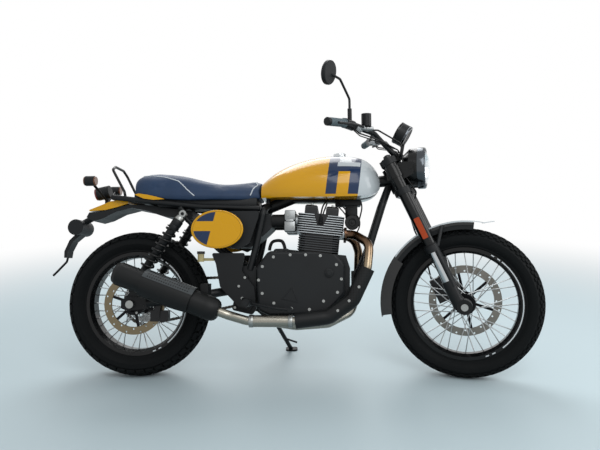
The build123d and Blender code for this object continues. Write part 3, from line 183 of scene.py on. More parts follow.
# ---------- frame, swingarm and stand
# Welded steel tube and plate, powder-coated satin black. The coat is slightly uneven, like a
# fine orange peel, and takes a soft grey sheen where it faces the light.
def grained(name, base, metallic=0.0, roughness=0.5, grain_mm=2.0, bump=0.15, spread=0.08, coat=0.0,
        tint=None, shine=0.2):
    """A material whose roughness, tone and surface vary with noise of a real grain size.

    base is a hex colour, or a function that adds a pattern to the tree and returns its colour."""
    material = bpy.data.materials.new(name)
    material.use_nodes = True
    tree = material.node_tree
    shader = tree.nodes["Principled BSDF"]
    place = add(tree, "TexCoord")
    noise = add(tree, "TexNoise", {"Vector": place.outputs["Object"], "Scale": 1000.0 / grain_mm,
        "Detail": 3.0})
    blotch = add(tree, "TexNoise", {"Vector": place.outputs["Object"], "Scale": 9.0, "Detail": 4.0})
    rough = add(tree, "MapRange", {"Value": blotch.outputs["Fac"], 1: 0.3, 2: 0.7,
        3: max(0.02, roughness - spread), 4: roughness + spread})
    tree.links.new(rough.outputs[0], shader.inputs["Roughness"])
    if callable(base):
        tone = base(tree)
    else:
        tone = mix(tree, blotch.outputs["Fac"], base, tint or base)
    tree.links.new(tone.outputs[0], shader.inputs["Base Color"])
    raised = add(tree, "Bump", {"Height": noise.outputs["Fac"], "Strength": bump,
        "Distance": grain_mm / 4000.0})
    tree.links.new(raised.outputs[0], shader.inputs["Normal"])
    shader.inputs["Metallic"].default_value = metallic
    shader.inputs["Specular IOR Level"].default_value = 0.5 if metallic else shine
    shader.inputs["Coat Weight"].default_value = coat
    shader.inputs["Coat Roughness"].default_value = 0.05
    return material


def mix(tree, mask, *tones):
    """The first tone where a mask is 0 and the second where it is 1; each is a hex colour or a node."""
    under, over = [colour(tone) if isinstance(tone, str) else tone for tone in tones]
    return add(tree, "MixRGB", {0: mask, 1: under, 2: over})


def dress(material, *names):
    """Gives CAD nodes their finish."""
    for name in names:
        mesh = frame["nodes"][name].data
        mesh.materials.clear()
        mesh.materials.append(material)


def pick(*pieces):
    """Selects these pieces alone, with the first one active."""
    clear_selection()
    for piece in pieces:
        piece.select_set(True)
    bpy.context.view_layer.objects.active = pieces[0]


def edit_all():
    """Edit mode on the active piece with all of it selected."""
    bpy.ops.object.mode_set(mode="EDIT")
    bpy.ops.mesh.select_all(action="SELECT")


def settle(piece, name, body, material, at=Matrix.Identity(4), angle=35):
    """Takes a piece from its place on the upright machine to where it stands, with body and finish."""
    pick(piece)
    bpy.ops.object.transform_apply(location=True, rotation=True, scale=True)
    for modifier in list(piece.modifiers):
        bpy.ops.object.modifier_apply(modifier=modifier.name)
    piece.data.transform(PLACES[body] @ at)
    bpy.ops.object.shade_smooth_by_angle(angle=radians(angle))
    piece.name = name
    piece.data.materials.clear()
    piece.data.materials.append(material)
    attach(piece, body)
    return piece


def boxed(low, high, bevel=0.002, segments=2):
    """A block between two corners with rounded edges."""
    low, high = Vector(low), Vector(high)
    clear_selection()
    bpy.ops.mesh.primitive_cube_add(size=1, location=(low + high) / 2, scale=high - low)
    piece = bpy.context.object
    bpy.ops.object.transform_apply(location=True, rotation=True, scale=True)
    edit_all()
    bpy.ops.mesh.bevel(offset=bevel, segments=segments, affect="EDGES")
    bpy.ops.object.mode_set(mode="OBJECT")
    return piece


def extrude(x, z):
    """Draws the selection on by a step in X and Z."""
    bpy.ops.mesh.extrude_region_move(TRANSFORM_OT_translate={"value": (x, 0, z)})


def spun(profile, steps=48, angle=2 * pi):
    """A form spun about local Z from an outline of (radius, height) points."""
    clear_selection()
    bpy.ops.mesh.primitive_plane_add(size=0.01)
    piece = bpy.context.object
    edit_all()
    bpy.ops.mesh.select_mode(type="VERT")
    bpy.ops.mesh.merge(type="CENTER")
    bpy.ops.transform.translate(value=(profile[0][0], 0, profile[0][1]))
    for (r0, z0), (r1, z1) in zip(profile, profile[1:]):
        extrude(r1 - r0, z1 - z0)
    bpy.ops.mesh.select_all(action="SELECT")
    bpy.ops.mesh.spin(steps=steps, angle=angle, center=(0, 0, 0), axis=(0, 0, 1))
    bpy.ops.mesh.select_all(action="SELECT")
    bpy.ops.mesh.remove_doubles(threshold=0.00002)
    bpy.ops.mesh.normals_make_consistent(inside=False)
    bpy.ops.object.mode_set(mode="OBJECT")
    return piece


def joined(pieces):
    """Several pieces as one mesh."""
    pick(*pieces)
    if len(pieces) > 1:
        bpy.ops.object.join()
    return pieces[0]


def repeated(model, places):
    """Copies of one modelled form, joined; the model itself goes."""
    copies = []
    for place in places:
        copy = model.copy()
        copy.data = model.data.copy()
        copy.data.transform(place)
        show(copy)
        copies.append(copy)
    bpy.data.objects.remove(model)
    return joined(copies)


def placed(model, places, *args, **settings):
    """Copies of one form at several places, settled as one piece."""
    return settle(repeated(model, places), *args, **settings)


def about_z(degrees):
    """A turn in degrees about Z."""
    return spin(radians(degrees), "Z")


def mm(*points):
    """Points given in millimetres, in metres."""
    return [tuple(part / 1000 for part in point) for point in points]


def aimed(point, direction):
    """The place of a form whose local Z points along a direction."""
    turn = Vector(direction).to_track_quat("Z", "Y").to_matrix().to_4x4()
    return moved(Vector(point)) @ turn


def tube(points, radius, sides=10):
    """A round tube on a smooth curve through control points, as a mesh."""
    curve = bpy.data.curves.new("route", "CURVE")
    curve.dimensions = "3D"
    curve.bevel_depth = radius
    curve.bevel_resolution = sides // 4
    curve.resolution_u = 8
    curve.use_fill_caps = True
    spline = curve.splines.new("NURBS")
    spline.points.add(len(points) - 1)
    for control, point in zip(spline.points, points):
        control.co = (*point, 1.0)
    spline.order_u = 3
    spline.use_endpoint_u = True
    piece = bpy.data.objects.new("tube", curve)
    show(piece)
    pick(piece)
    bpy.ops.object.convert(target="MESH")
    return bpy.context.object


def socket_bolt(radius, height):
    """A cap screw head with its hexagon socket, standing on z = 0."""
    clear_selection()
    bpy.ops.mesh.primitive_cylinder_add(vertices=24, radius=radius, depth=height, location=(0, 0, height / 2))
    piece = bpy.context.object
    bpy.ops.object.transform_apply(location=True, rotation=True, scale=True)
    bpy.ops.object.mode_set(mode="EDIT")
    bpy.ops.mesh.select_mode(type="FACE")
    bpy.ops.mesh.select_all(action="DESELECT")
    bpy.ops.object.mode_set(mode="OBJECT")
    top = max(piece.data.polygons, key=lambda face: face.center.z)
    top.select = True
    bpy.ops.object.mode_set(mode="EDIT")
    bpy.ops.mesh.inset(thickness=radius * 0.1)
    extrude(0, height * 0.12)
    bpy.ops.mesh.inset(thickness=radius * 0.38)
    extrude(0, -height * 0.6)
    bpy.ops.object.mode_set(mode="OBJECT")
    return piece


def bolts(name, body, radius, height, direction, points):
    """Cap screws of one size at several points of the machine."""
    return placed(socket_bolt(radius, height), [aimed(point, direction) for point in points], name, body,
        zinc_steel)


def located(tree, place=UPRIGHT):
    """The point on the surface in the upright machine's axes."""
    back = place.inverted()
    here = add(tree, "TexCoord")
    return add(tree, "Mapping", {"Vector": here.outputs["Object"], "Location": back.translation,
        "Rotation": back.to_euler()})


def axes(tree, place=UPRIGHT):
    """The three coordinates of that point."""
    return add(tree, "SeparateXYZ", {0: located(tree, place)}).outputs


def reach_from(tree, point, centre, scale=(1, 0, 1)):
    """How far a point lies from a line across the machine."""
    away = vector(tree, "SUBTRACT", point, tuple(centre))
    return vector(tree, "LENGTH", vector(tree, "MULTIPLY", away, scale))


def within(tree, value, low, high):
    """1 where a value lies between two limits, otherwise 0."""
    above = calc(tree, "GREATER_THAN", value, low)
    below = calc(tree, "LESS_THAN", value, high)
    return calc(tree, "MULTIPLY", above, below)


powder_coat = grained("satin_black_powder_coat", "0D0F11", roughness=0.42, grain_mm=1.6, tint="131618")
dress(powder_coat, "frame", "rear_subframe", "swingarm", "swingarm_pivot", "side_stand", "yokes", "handlebar",
    "footrests", "axle_lugs")
zinc_steel = grained("zinc_plated_steel", "9FA2A1", metallic=1.0, roughness=0.34, grain_mm=0.8, tint="868987")
dress(zinc_steel, "rear_axle", "front_axle")
bolts("right_plate_bolts", "chassis", 0.0055, 0.004, (0, -1, 0),
    mm((474, -136, 403), (489, -136, 352), (458, -136, 312), (500, -136, 440)))
bolts("left_plate_bolts", "chassis", 0.0055, 0.004, (0, 1, 0),
    mm((474, 136, 403), (489, 136, 352), (500, 136, 440)))
bolts("swingarm_pivot_nuts", "chassis", 0.01, 0.006, (0, -1, 0), [(0.48, -0.115, 0.385)])
bolts("swingarm_pivot_head", "chassis", 0.01, 0.006, (0, 1, 0), [(0.48, 0.115, 0.385)])


# ---------- wheels and tyres
# Black rubber with moulded tread lugs over a smooth carcass. Each lug is a chamfered block that
# stands on the crown; one pitch is modelled and repeated round the wheel. Painted rims, steel hubs.
rubber = grained("tyre_rubber", "0B0D0E", roughness=0.75, grain_mm=1.5, bump=0.3, tint="121415", shine=0.1)
AXLE_WAY = spin(-pi / 2, "X")
HUBS = {"front": moved(FRONT_AXLE) @ AXLE_WAY, "rear": moved(REAR_AXLE) @ AXLE_WAY}


def treaded(wheel, radius, half, crown, rim, bead, groove, pitches, rows):
    """A tyre from the same section as its solid, with grooves between lugs.

    Each row is (angle across the crown, length, width, shift along the pitch); a slanting row has its
    mirror image too."""
    name, node, body = wheel + "_tyre_treaded", wheel + "_tyre", wheel + "_wheel"
    seat = rim - 0.0107
    shoulder = half * 0.82
    edge = asin(shoulder / crown)
    shoulder_r = radius - crown + (crown - groove) * cos(edge)
    bulge_r = (rim + radius - crown + crown * cos(edge)) / 2
    side = [(seat, bead), (rim, bead), (rim + 0.004, bead + 0.0035), (rim + 0.01, bead + 0.004),
        ((rim + bulge_r) / 2 + 0.003, (bead + half) / 2 + 0.0035), (bulge_r, half),
        ((bulge_r + shoulder_r) / 2 + 0.004, (half + shoulder) / 2 + 0.0035)]
    arc = [(radius - crown + (crown - groove) * cos(edge * t), (crown - groove) * sin(edge * t))
        for t in (1.0, 0.75, 0.5, 0.25, 0.0, -0.25, -0.5, -0.75, -1.0)]
    carcass = spun(side + arc + [(r, -y) for r, y in reversed(side)] + [side[0]], steps=96)
    lugs = []
    pitch = 2 * pi / pitches
    for angle, length, width, shift in rows + [(-row[0], *row[1:]) for row in rows if row[0]]:
        top = sqrt(crown**2 - (width / 2) ** 2)
        lug = boxed((top - groove - 0.003, -length / 2, -width / 2), (top, length / 2, width / 2), 0.0011, 1)
        lug.data.transform(spin(shift * pitch, "Z") @ moved((radius - crown, 0, 0)) @ spin(-angle, "Y"))
        lugs.append(lug)
    tread = repeated(joined(lugs), [spin(i * pitch, "Z") for i in range(pitches)])
    tyre = settle(joined([carcass, tread]), name, body, rubber, HUBS[wheel])
    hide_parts(node)


treaded("rear", REAR_RADIUS, 0.068, 0.084, 0.231, 0.0457, 0.009, 44,
    [(0.0, 0.03, 0.02, 0.0), (0.27, 0.031, 0.019, 0.5),
    (0.5, 0.024, 0.014, 0.0), (0.71, 0.034, 0.02, 0.45)])
treaded("front", FRONT_RADIUS, 0.05, 0.053, 0.247, 0.0297, 0.0055, 60,
    [(0.0, 0.024, 0.016, 0.0), (0.34, 0.023, 0.015, 0.5),
    (0.66, 0.022, 0.014, 0.0), (0.9, 0.016, 0.009, 0.5)])

dress(grained("gloss_black_rim", "0A0B0C", roughness=0.24, grain_mm=3.0, bump=0.02, coat=0.12), "front_rim",
    "rear_rim")


def ringed(place, axle, radius, inner, outer):
    """A pattern with one tone near a wheel's axle and another beyond a radius."""
    def pattern(tree):
        reach = reach_from(tree, located(tree, place), axle)
        return mix(tree, calc(tree, "GREATER_THAN", reach, radius), inner, outer)
    return pattern


for name, place, axle, flange, carrier, steel in (("front", STEERED, FRONT_AXLE, 0.047, 0.1265, "77756F"),
        ("rear", UPRIGHT, REAR_AXLE, 0.049, 0.1015, "706652")):
    hub = grained(name + "_black_hub_and_steel_spokes", ringed(place, axle, flange, "131416", "A9ACAD"),
        metallic=0.85, roughness=0.32, grain_mm=1.2)
    dress(hub, name + "_hub")
    disc = grained(name + "_drilled_disc_steel", ringed(place, axle, carrier, "151618", steel), metallic=0.9,
        roughness=0.34, grain_mm=0.6)
    dress(disc, name + "_disc")
rim_mark = grained("pale_rim_lining", "C5CACC", roughness=0.45, grain_mm=2.0, bump=0.02)

for name, rim, half in (("front", 0.247, 0.034), ("rear", 0.231, 0.05)):
    strip = [(rim - 0.009, 0.0), (rim - 0.009, 0.0004), (rim - 0.0045, 0.0004), (rim - 0.0045, 0.0)]
    arc = repeated(spun(strip, 36, radians(100)), [about_z(50)])
    dashes = repeated(spun(strip, 3, radians(3.5)), [about_z(a) for a in (-66, -59, 55.5, 62.5)])
    model = joined([arc, dashes])
    outside = moved((0, 0, half))
    lining = repeated(model, [outside, spin(pi, "X") @ outside])
    settle(lining, name + "_rim_lining", name + "_wheel", rim_mark, HUBS[name])

DISC_BOLTS = 5
for name, axle, circle, y, way in (("front", FRONT_AXLE, 0.037, 0.0727, 1),
        ("rear", REAR_AXLE, 0.041, -0.0847, -1)):
    angles = [2 * pi * i / DISC_BOLTS for i in range(DISC_BOLTS)]
    ring = [axle + Vector((circle * cos(a), y, circle * sin(a))) for a in angles]
    bolts(name + "_disc_bolts", name + "_wheel", 0.0052, 0.0035, (0, way, 0), ring)


# ---------- shocks and chain
# Twin shocks: a black damper with a bright top mount inside a coil of painted spring wire, made as
# a screwed ring. The chain is one link of two waisted plates and a roller, laid round its path.
spring_black = grained("gloss_black_spring_paint", "0B0C0D", roughness=0.24, grain_mm=2.0, bump=0.02,
    coat=0.15)
SHOCK_TOP, SHOCK_LOW, SHOCK_Y = Vector((0.226, 0, 0.716)), Vector((0.014, 0, 0.405)), 0.14
shock_way = (SHOCK_LOW - SHOCK_TOP).normalized()
shock_length = (SHOCK_LOW - SHOCK_TOP).length
shock_places = [aimed(SHOCK_TOP + Vector((0, side * SHOCK_Y, 0)), shock_way) for side in (-1, 1)]
shocks = placed(spun([(0.0, 0.06), (0.0225, 0.061), (0.0235, 0.064), (0.0235, 0.072), (0.029, 0.074),
    (0.029, 0.0775), (0.019, 0.079), (0.019, 0.19), (0.017, 0.194), (0.0165, 0.3), (0.01, 0.304),
    (0.01, shock_length - 0.048), (0.029, shock_length - 0.046), (0.029, shock_length - 0.041),
    (0.022, shock_length - 0.037), (0.021, shock_length - 0.018), (0.0, shock_length - 0.016)], 32),
    shock_places, "shock_dampers", "chassis", powder_coat)
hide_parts("rear_shocks")
placed(spun(mm((0, 13), (16.5, 14), (20.5, 20), (21.5, 30), (19.5, 33), (0, 34)), 32), shock_places,
    "shock_top_mounts", "chassis", zinc_steel)
collar = spun(mm((0, 33), (21.5, 33.5), (23.5, 37), (23.5, 58), (22.5, 60.5), (0, 60.5)), 32)
placed(collar, shock_places, "shock_top_collars", "chassis", powder_coat)
placed(spun(mm((7.5, -13), (15, -13), (16.2, -11.5), (16.2, 11.5), (15, 13), (7.5, 13), (7.5, -13)), 32),
    [aimed(point + Vector((0, side * SHOCK_Y, 0)), (0, 1, 0)) for side in (-1, 1)
    for point in (SHOCK_TOP, SHOCK_LOW)], "shock_eyes", "chassis", zinc_steel)
COIL_TURNS, WIRE_R, COIL_R, COIL_START, SEAT_END = 9, 0.005, 0.025, 0.0822, 0.046
clear_selection()
bpy.ops.mesh.primitive_circle_add(vertices=10, radius=WIRE_R, location=(COIL_R, 0, COIL_START),
    rotation=(pi / 2, 0, 0))
coil = bpy.context.object
bpy.ops.object.transform_apply(location=True, rotation=True, scale=True)
screw = coil.modifiers.new("coil", "SCREW")
screw.screw_offset = (shock_length - SEAT_END - COIL_START - WIRE_R) / COIL_TURNS
screw.iterations = COIL_TURNS
screw.steps = screw.render_steps = 22
bpy.ops.object.modifier_apply(modifier="coil")
placed(coil, shock_places, "shock_springs", "chassis", spring_black, angle=60)

chain_steel = grained("oiled_chain_steel", "55524D", metallic=1.0, roughness=0.38, grain_mm=1.0,
    tint="3B3936")
SPROCKET_R, DRIVE_R, CHAIN_Y, DRIVE = 0.092, 0.038, 0.088, Vector((0.612, 0, 0.4))
PLATE_HALF, LINK_PITCH = 0.0115, 0.015875
span = (DRIVE - REAR_AXLE).length
rise = atan2(DRIVE.z - REAR_AXLE.z, DRIVE.x)
big, small = SPROCKET_R + PLATE_HALF, DRIVE_R + PLATE_HALF
lean_angle = acos((big - small) / span)
straight = sqrt(span**2 - (big - small) ** 2)
lengths = [straight, 2 * lean_angle * small, straight, (2 * pi - 2 * lean_angle) * big]
LINKS = 2 * round(sum(lengths) / LINK_PITCH / 2)


def along_chain(s):
    """Point and direction at a distance round the loop, in the plane of the chain."""
    c, d = cos(lean_angle), sin(lean_angle)
    top = Vector((big * c, 0, big * d))
    way = Vector((d, 0, -c))
    if s < lengths[0]:
        return top + way * s, atan2(way.z, way.x)
    s -= lengths[0]
    if s < lengths[1]:
        a = lean_angle - s / small
        return Vector((span + small * cos(a), 0, small * sin(a))), a - pi / 2
    s -= lengths[1]
    if s < lengths[2]:
        start = Vector((span + small * c, 0, -small * d))
        return start + Vector((-d, 0, -c)) * s, atan2(-c, -d)
    a = -lean_angle - (s - lengths[2]) / big
    return Vector((big * cos(a), 0, big * sin(a))), a - pi / 2


plates = []
for y in (-0.0066, 0.0066):
    clear_selection()
    bpy.ops.mesh.primitive_grid_add(x_subdivisions=4, y_subdivisions=2, size=0.02)
    plate = bpy.context.object
    for vertex in plate.data.vertices:
        x, z = vertex.co.x, vertex.co.y
        waist = 0.0046 + 0.0022 * (abs(x) / 0.005 if abs(x) < 0.005 else (0.0105 - abs(x)) / 0.0055)
        vertex.co = (x * 1.05, y, copysign(waist, z) if abs(z) > 0.001 else 0.0)
    thick = plate.modifiers.new("thick", "SOLIDIFY")
    thick.thickness = 0.0018
    thick.offset = 0.0
    bpy.ops.object.modifier_apply(modifier="thick")
    plates.append(plate)
roller = spun(mm((0, -8.5), (2.2, -8.5), (2.2, -5.2), (5, -5), (5, 5), (2.2, 5.2), (2.2, 8.5), (0, 8.5)), 10)
roller.data.transform(moved((0.0079, 0, 0)) @ AXLE_WAY)
link = joined(plates + [roller])
link_places = []
for i in range(LINKS):
    spot, heading = along_chain(sum(lengths) * i / LINKS)
    side_step = Matrix.Scale(0.72 if i % 2 else 1.0, 4, (0, 1, 0))
    link_places.append(moved(REAR_AXLE + Vector((0, CHAIN_Y, 0))) @ spin(-rise, "Y") @ moved(spot)
        @ spin(-heading, "Y") @ side_step)
chain = placed(link, link_places, "drive_chain_links", "chassis", chain_steel)
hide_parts("drive_chain")


# ---------- engine
# Black painted cases with bright cap screws round the clutch cover and a raised triangle on it.
# The head's fins are machined bright at their rims, and its covers are black.
engine_paint = grained("wrinkle_black_engine_paint", "101214", roughness=0.46, grain_mm=1.2, bump=0.3,
    tint="181B1D")
dress(engine_paint, "engine_block", "engine_covers")
CYLINDER_BASE, CYLINDER_TILT, HEAD_TOP = Vector((0.812, 0, 0.548)), radians(6), 0.17
BORE_PLACE = moved(CYLINDER_BASE) @ spin(CYLINDER_TILT, "Y")
RIM_DEPTH = 0.0008


def fin_rims(half_x, half_y, corner, top, dark, light):
    """A pattern that is light on the outer rims of a finned block and dark between the fins."""
    def pattern(tree):
        point = located(tree, UPRIGHT @ BORE_PLACE)
        size = vector(tree, "ABSOLUTE", point)
        inner = vector(tree, "SUBTRACT", size, (half_x - corner, half_y - corner, 9.0))
        reach = vector(tree, "LENGTH", vector(tree, "MAXIMUM", inner, (0, 0, 0)))
        rim = calc(tree, "GREATER_THAN", reach, corner - RIM_DEPTH)
        low = within(tree, add(tree, "SeparateXYZ", {0: point}).outputs["Z"], -1.0, top)
        return mix(tree, calc(tree, "MULTIPLY", rim, low), dark, light)
    return pattern


dress(grained("black_head_with_machined_fins", fin_rims(0.101, 0.134, 0.022, HEAD_TOP + 0.001, "0F1012",
    "9A9FA2"), metallic=0.5, roughness=0.34, grain_mm=0.9, bump=0.2), "cylinder_head")
dress(grained("black_barrels", fin_rims(0.09, 0.131, 0.024, 0.2, "0B0C0D", "2A2D30"), metallic=0.3,
    roughness=0.42, grain_mm=0.9, bump=0.2), "cylinders")
COVER_SCREWS = [(624, 528), (577, 487), (561, 429), (577, 373), (627, 332), (702, 310), (778, 306),
    (838, 341), (897, 378), (914, 434), (893, 495), (825, 533), (762, 537), (696, 537)]
bolts("clutch_cover_screws", "chassis", 0.0062, 0.0045, (0, -1, 0),
    [(x / 1000, -0.1485, z / 1000) for x, z in COVER_SCREWS])
bolts("alternator_cover_screws", "chassis", 0.0056, 0.0045, (0, 1, 0),
    mm((712, 156.5, 345), (712, 156.5, 455), (770, 156.5, 512), (872, 156.5, 512), (905, 156.5, 468),
    (905, 156.5, 362), (852, 156.5, 307), (760, 156.5, 307)))
clear_selection()
bpy.ops.mesh.primitive_circle_add(vertices=3, radius=0.042, fill_type="NGON")
triangle = bpy.context.object
edit_all()
bpy.ops.mesh.inset(thickness=0.0035)
bpy.ops.mesh.delete(type="FACE")
bpy.ops.mesh.select_all(action="SELECT")
extrude(0, 0.0022)
bpy.ops.mesh.select_all(action="SELECT")
bpy.ops.mesh.normals_make_consistent(inside=False)
bpy.ops.mesh.bevel(offset=0.0006, segments=1, affect="EDGES")
bpy.ops.object.mode_set(mode="OBJECT")
triangle.data.transform(aimed((0.698, -0.1497, 0.362), (0, -1, 0)) @ about_z(-10))
settle(triangle, "cover_triangle", "chassis", engine_paint)
placed(spun(mm((0, 12), (10, 12), (12, 10), (17, 9.5), (18.5, 8), (18.5, 0)), 24),
    [aimed((0.862, -0.1495, 0.46), (0, -1, 0))], "oil_filler_cap", "chassis", engine_paint)
placed(spun(mm((0, 8), (34, 7), (40, 3), (43, -1), (50, -1)), 40), [aimed((0.812, 0.1578, 0.41), (0, 1, 0))],
    "alternator_cover_dome", "chassis", engine_paint)
nut = socket_bolt(0.0065, 0.007)
placed(nut, [BORE_PLACE @ moved((x, y, 0.205)) for x in (-0.046, 0.046) for y in (-0.1, -0.034, 0.034, 0.1)],
    "rocker_cover_screws", "chassis", zinc_steel)

# Bright cast throttle bodies of two stacked blocks with a bolted flange, and black rubber boots.
# Plug caps stand in the head's notches with their leads going up under the tank.
cast_alloy = grained("bare_cast_aluminium", "9A9D9E", metallic=1.0, roughness=0.42, grain_mm=1.0, bump=0.4,
    tint="787B7C")
boot_rubber = grained("black_boot_rubber", "0E0F10", roughness=0.6, grain_mm=1.0, bump=0.2)
dress(boot_rubber, "throttle_bodies")
castings = []
for y in (-0.072, 0.072):
    castings.append(boxed((0.668, y - 0.035, 0.69), (0.7155, y + 0.035, 0.7355), 0.005))
    castings.append(boxed((0.666, y - 0.037, 0.64), (0.7155, y + 0.037, 0.687), 0.006))
    castings.append(boxed((0.674, y - 0.039, 0.683), (0.708, y + 0.039, 0.694), 0.002))
settle(joined(castings), "throttle_castings", "chassis", cast_alloy)
bolts("throttle_screws", "chassis", 0.0042, 0.004, (0, -1, 0), mm((682, -108.5, 712), (703, -108.5, 660)))
placed(spun(mm((0, 30), (7.5, 29), (8.5, 24), (8.5, 8), (10.5, 6), (10.5, 0)), 20),
    [BORE_PLACE @ moved((0, side * 0.118, 0.128)) @ spin(side * -0.5, "X") for side in (-1, 1)], "plug_caps",
    "chassis", boot_rubber)
leads = [tube([(0.826, side * 0.128, 0.703), (0.832, side * 0.128, 0.742), (0.845, side * 0.09, 0.768),
    (0.852, side * 0.05, 0.782)], 0.0035) for side in (-1, 1)]
settle(joined(leads), "plug_leads", "chassis", boot_rubber)
settle(tube(mm((596, -50, 560), (600, -52, 596), (632, -60, 606), (662, -64, 600), (668, -66, 560)), 0.0075),
    "breather_hose", "chassis", boot_rubber)

# Header pipes tinted brown by heat near the ports and clean steel further on; clamped at the head
# by collars of the same steel. The shield and silencer are matt black with rows of punched holes.
def heat_tint(tree):
    """Clean steel low down, brown near the ports."""
    ramp = add(tree, "ValToRGB", {"Fac": add(tree, "MapRange", {"Value": axes(tree)["Z"], 1: 0.25, 2: 0.65})})
    stops = ramp.color_ramp.elements
    stops[0].position, stops[0].color = 0.0, colour("8E8C84")
    stops[1].position, stops[1].color = 1.0, colour("4A362A")
    for at, tone in ((0.35, "8E897B"), (0.62, "857864"), (0.86, "66503E")):
        stop = stops.new(at)
        stop.color = colour(tone)
    return ramp


header_steel = grained("heat_tinted_header_steel", heat_tint, metallic=1.0, roughness=0.26, grain_mm=1.5,
    bump=0.08)
dress(header_steel, "exhaust_headers")
collar = spun(mm((19.5, -6), (28, -6), (30, -4), (30, 4), (28, 6), (19.5, 6), (19.5, -6)), 32)
placed(collar, [aimed((0.934, y, 0.63), (1, 0, 0)) for y in (-0.072, 0.072)], "header_collars", "chassis",
    header_steel)
placed(spun(mm((19.2, -9), (26.2, -9), (26.8, -8), (26.8, 8), (26.2, 9), (19.2, 9)), 32),
    [aimed((x, -0.176, 0.258), (1, 0, 0)) for x in (0.7, 0.535)], "collector_bands", "chassis", zinc_steel)
MUFFLER_FRONT, MUFFLER_REAR = Vector((0.404, -0.222, 0.3)), Vector((-0.034, -0.222, 0.462))
muffler_way = (MUFFLER_REAR - MUFFLER_FRONT).normalized()
HOLE_SHARE = 0.27


def punched(place, along, pitch, low, high, base, hole):
    """Rows of dark round holes on a plate, in the place's own X and one more direction."""
    def pattern(tree):
        parts = axes(tree, place)
        spread = []
        for axis in ("X", along):
            cell = calc(tree, "DIVIDE", parts[axis], pitch)
            spread.append(calc(tree, "SUBTRACT", calc(tree, "FRACT", cell), 0.5))
        offset = add(tree, "CombineXYZ", {0: spread[0], 1: spread[1]})
        dot = calc(tree, "LESS_THAN", vector(tree, "LENGTH", offset), HOLE_SHARE)
        return mix(tree, calc(tree, "MULTIPLY", dot, within(tree, parts["X"], low, high)), base, hole)
    return pattern


sideways = Vector((0, 1, 0))
muffler_axes = Matrix((muffler_way, sideways, muffler_way.cross(sideways))).transposed().to_4x4()
muffler_axes.translation = MUFFLER_FRONT
exhaust_black = grained("matt_black_exhaust_enamel", "0A0C0D", roughness=0.5, grain_mm=1.0, bump=0.3,
    tint="111314")
dress(exhaust_black, "muffler")
dress(grained("punched_black_shield", punched(UPRIGHT, "Z", 0.011, 0.93, 1.03, "111314", "030303"),
    roughness=0.42, grain_mm=1.0, bump=0.2), "header_shield")
guard_black = grained("punched_silencer_guard", punched(UPRIGHT @ muffler_axes, "Z", 0.0105, 0.135, 0.325,
    "3C4042", "040404"), roughness=0.4, grain_mm=1.0, bump=0.2)
guard = spun(mm((60, 118), (60.6, 118.5), (60.6, 341.5), (60, 342), (59.2, 341.5), (59.2, 118.5), (60, 118)),
    20, radians(72))
guard.data.transform(aimed(MUFFLER_FRONT, muffler_way) @ about_z(101))
settle(guard, "silencer_guard", "chassis", guard_black)
placed(spun(mm((31.5, -1), (40, 5), (46.5, 16), (50.2, 32), (51, 48), (50, 62)), 40),
    [aimed(MUFFLER_FRONT, muffler_way)], "silencer_nose", "chassis", exhaust_black)
placed(spun(mm((20, -30), (20, 0.5), (23.5, 2.2), (30, 2.2), (42, 0.2)), 40),
    [aimed(MUFFLER_REAR, muffler_way)], "silencer_end_ring", "chassis", exhaust_black)
bolts("header_shield_screws", "chassis", 0.0058, 0.004, (0, -1, 0),
    mm((985, -208.5, 402), (944, -208.5, 345), (897, -208.5, 305)))
bolts("silencer_end_screws", "chassis", 0.0036, 0.003, muffler_way,
    [MUFFLER_REAR + muffler_axes.to_3x3() @ Vector((-0.001, 0.034 * cos(a), 0.034 * sin(a)))
    for a in (0.5, 2.07, 3.64, 5.21)])


# ---------- tank and boards
# Yellow enamel under clear lacquer. Two navy legs joined by a bar cross the front of the tank with
# a yellow panel between them, and the nose is pale silver. The place of a label is left bare.
YELLOW, NAVY, SILVER = "C48F0A", "172A48", "AEB5B8"
LEGS, BAR, PAINT_LOW, HIGH, SLANT = ((0.846, 0.892), (0.943, 0.9875)), (0.9, 0.925), 0.801, 2.0, -0.13


def tank_stripes(tree):
    """Navy legs and bar, then the pale nose, crest and label strip, on yellow."""
    parts = axes(tree)
    run = calc(tree, "ADD", parts["X"], calc(tree, "MULTIPLY_ADD", parts["Z"], SLANT, -SLANT * 0.8))

    def panel(across, low, high):
        return calc(tree, "MULTIPLY", within(tree, run, *across), within(tree, parts["Z"], low, high))

    legs = calc(tree, "MAXIMUM", panel(LEGS[0], PAINT_LOW, HIGH), panel(LEGS[1], PAINT_LOW, HIGH))
    navy = calc(tree, "MAXIMUM", legs, panel((0.89, LEGS[1][1]), *BAR))
    above = calc(tree, "MAXIMUM", panel((LEGS[0][1], LEGS[1][0]), BAR[1], HIGH),
        panel((0.884, 0.984), BAR[1], 0.946))
    pale = calc(tree, "MAXIMUM", within(tree, run, LEGS[1][1], HIGH), above)
    return mix(tree, pale, mix(tree, navy, YELLOW, NAVY), SILVER)


BOARD_C, BOARD_HALF_X, BOARD_HALF_Z = (0.386, 0, 0.645), 0.112, 0.082
LINE_SLOPE, LINE_X, LINE_Z = 0.2576, 0.345, 0.584


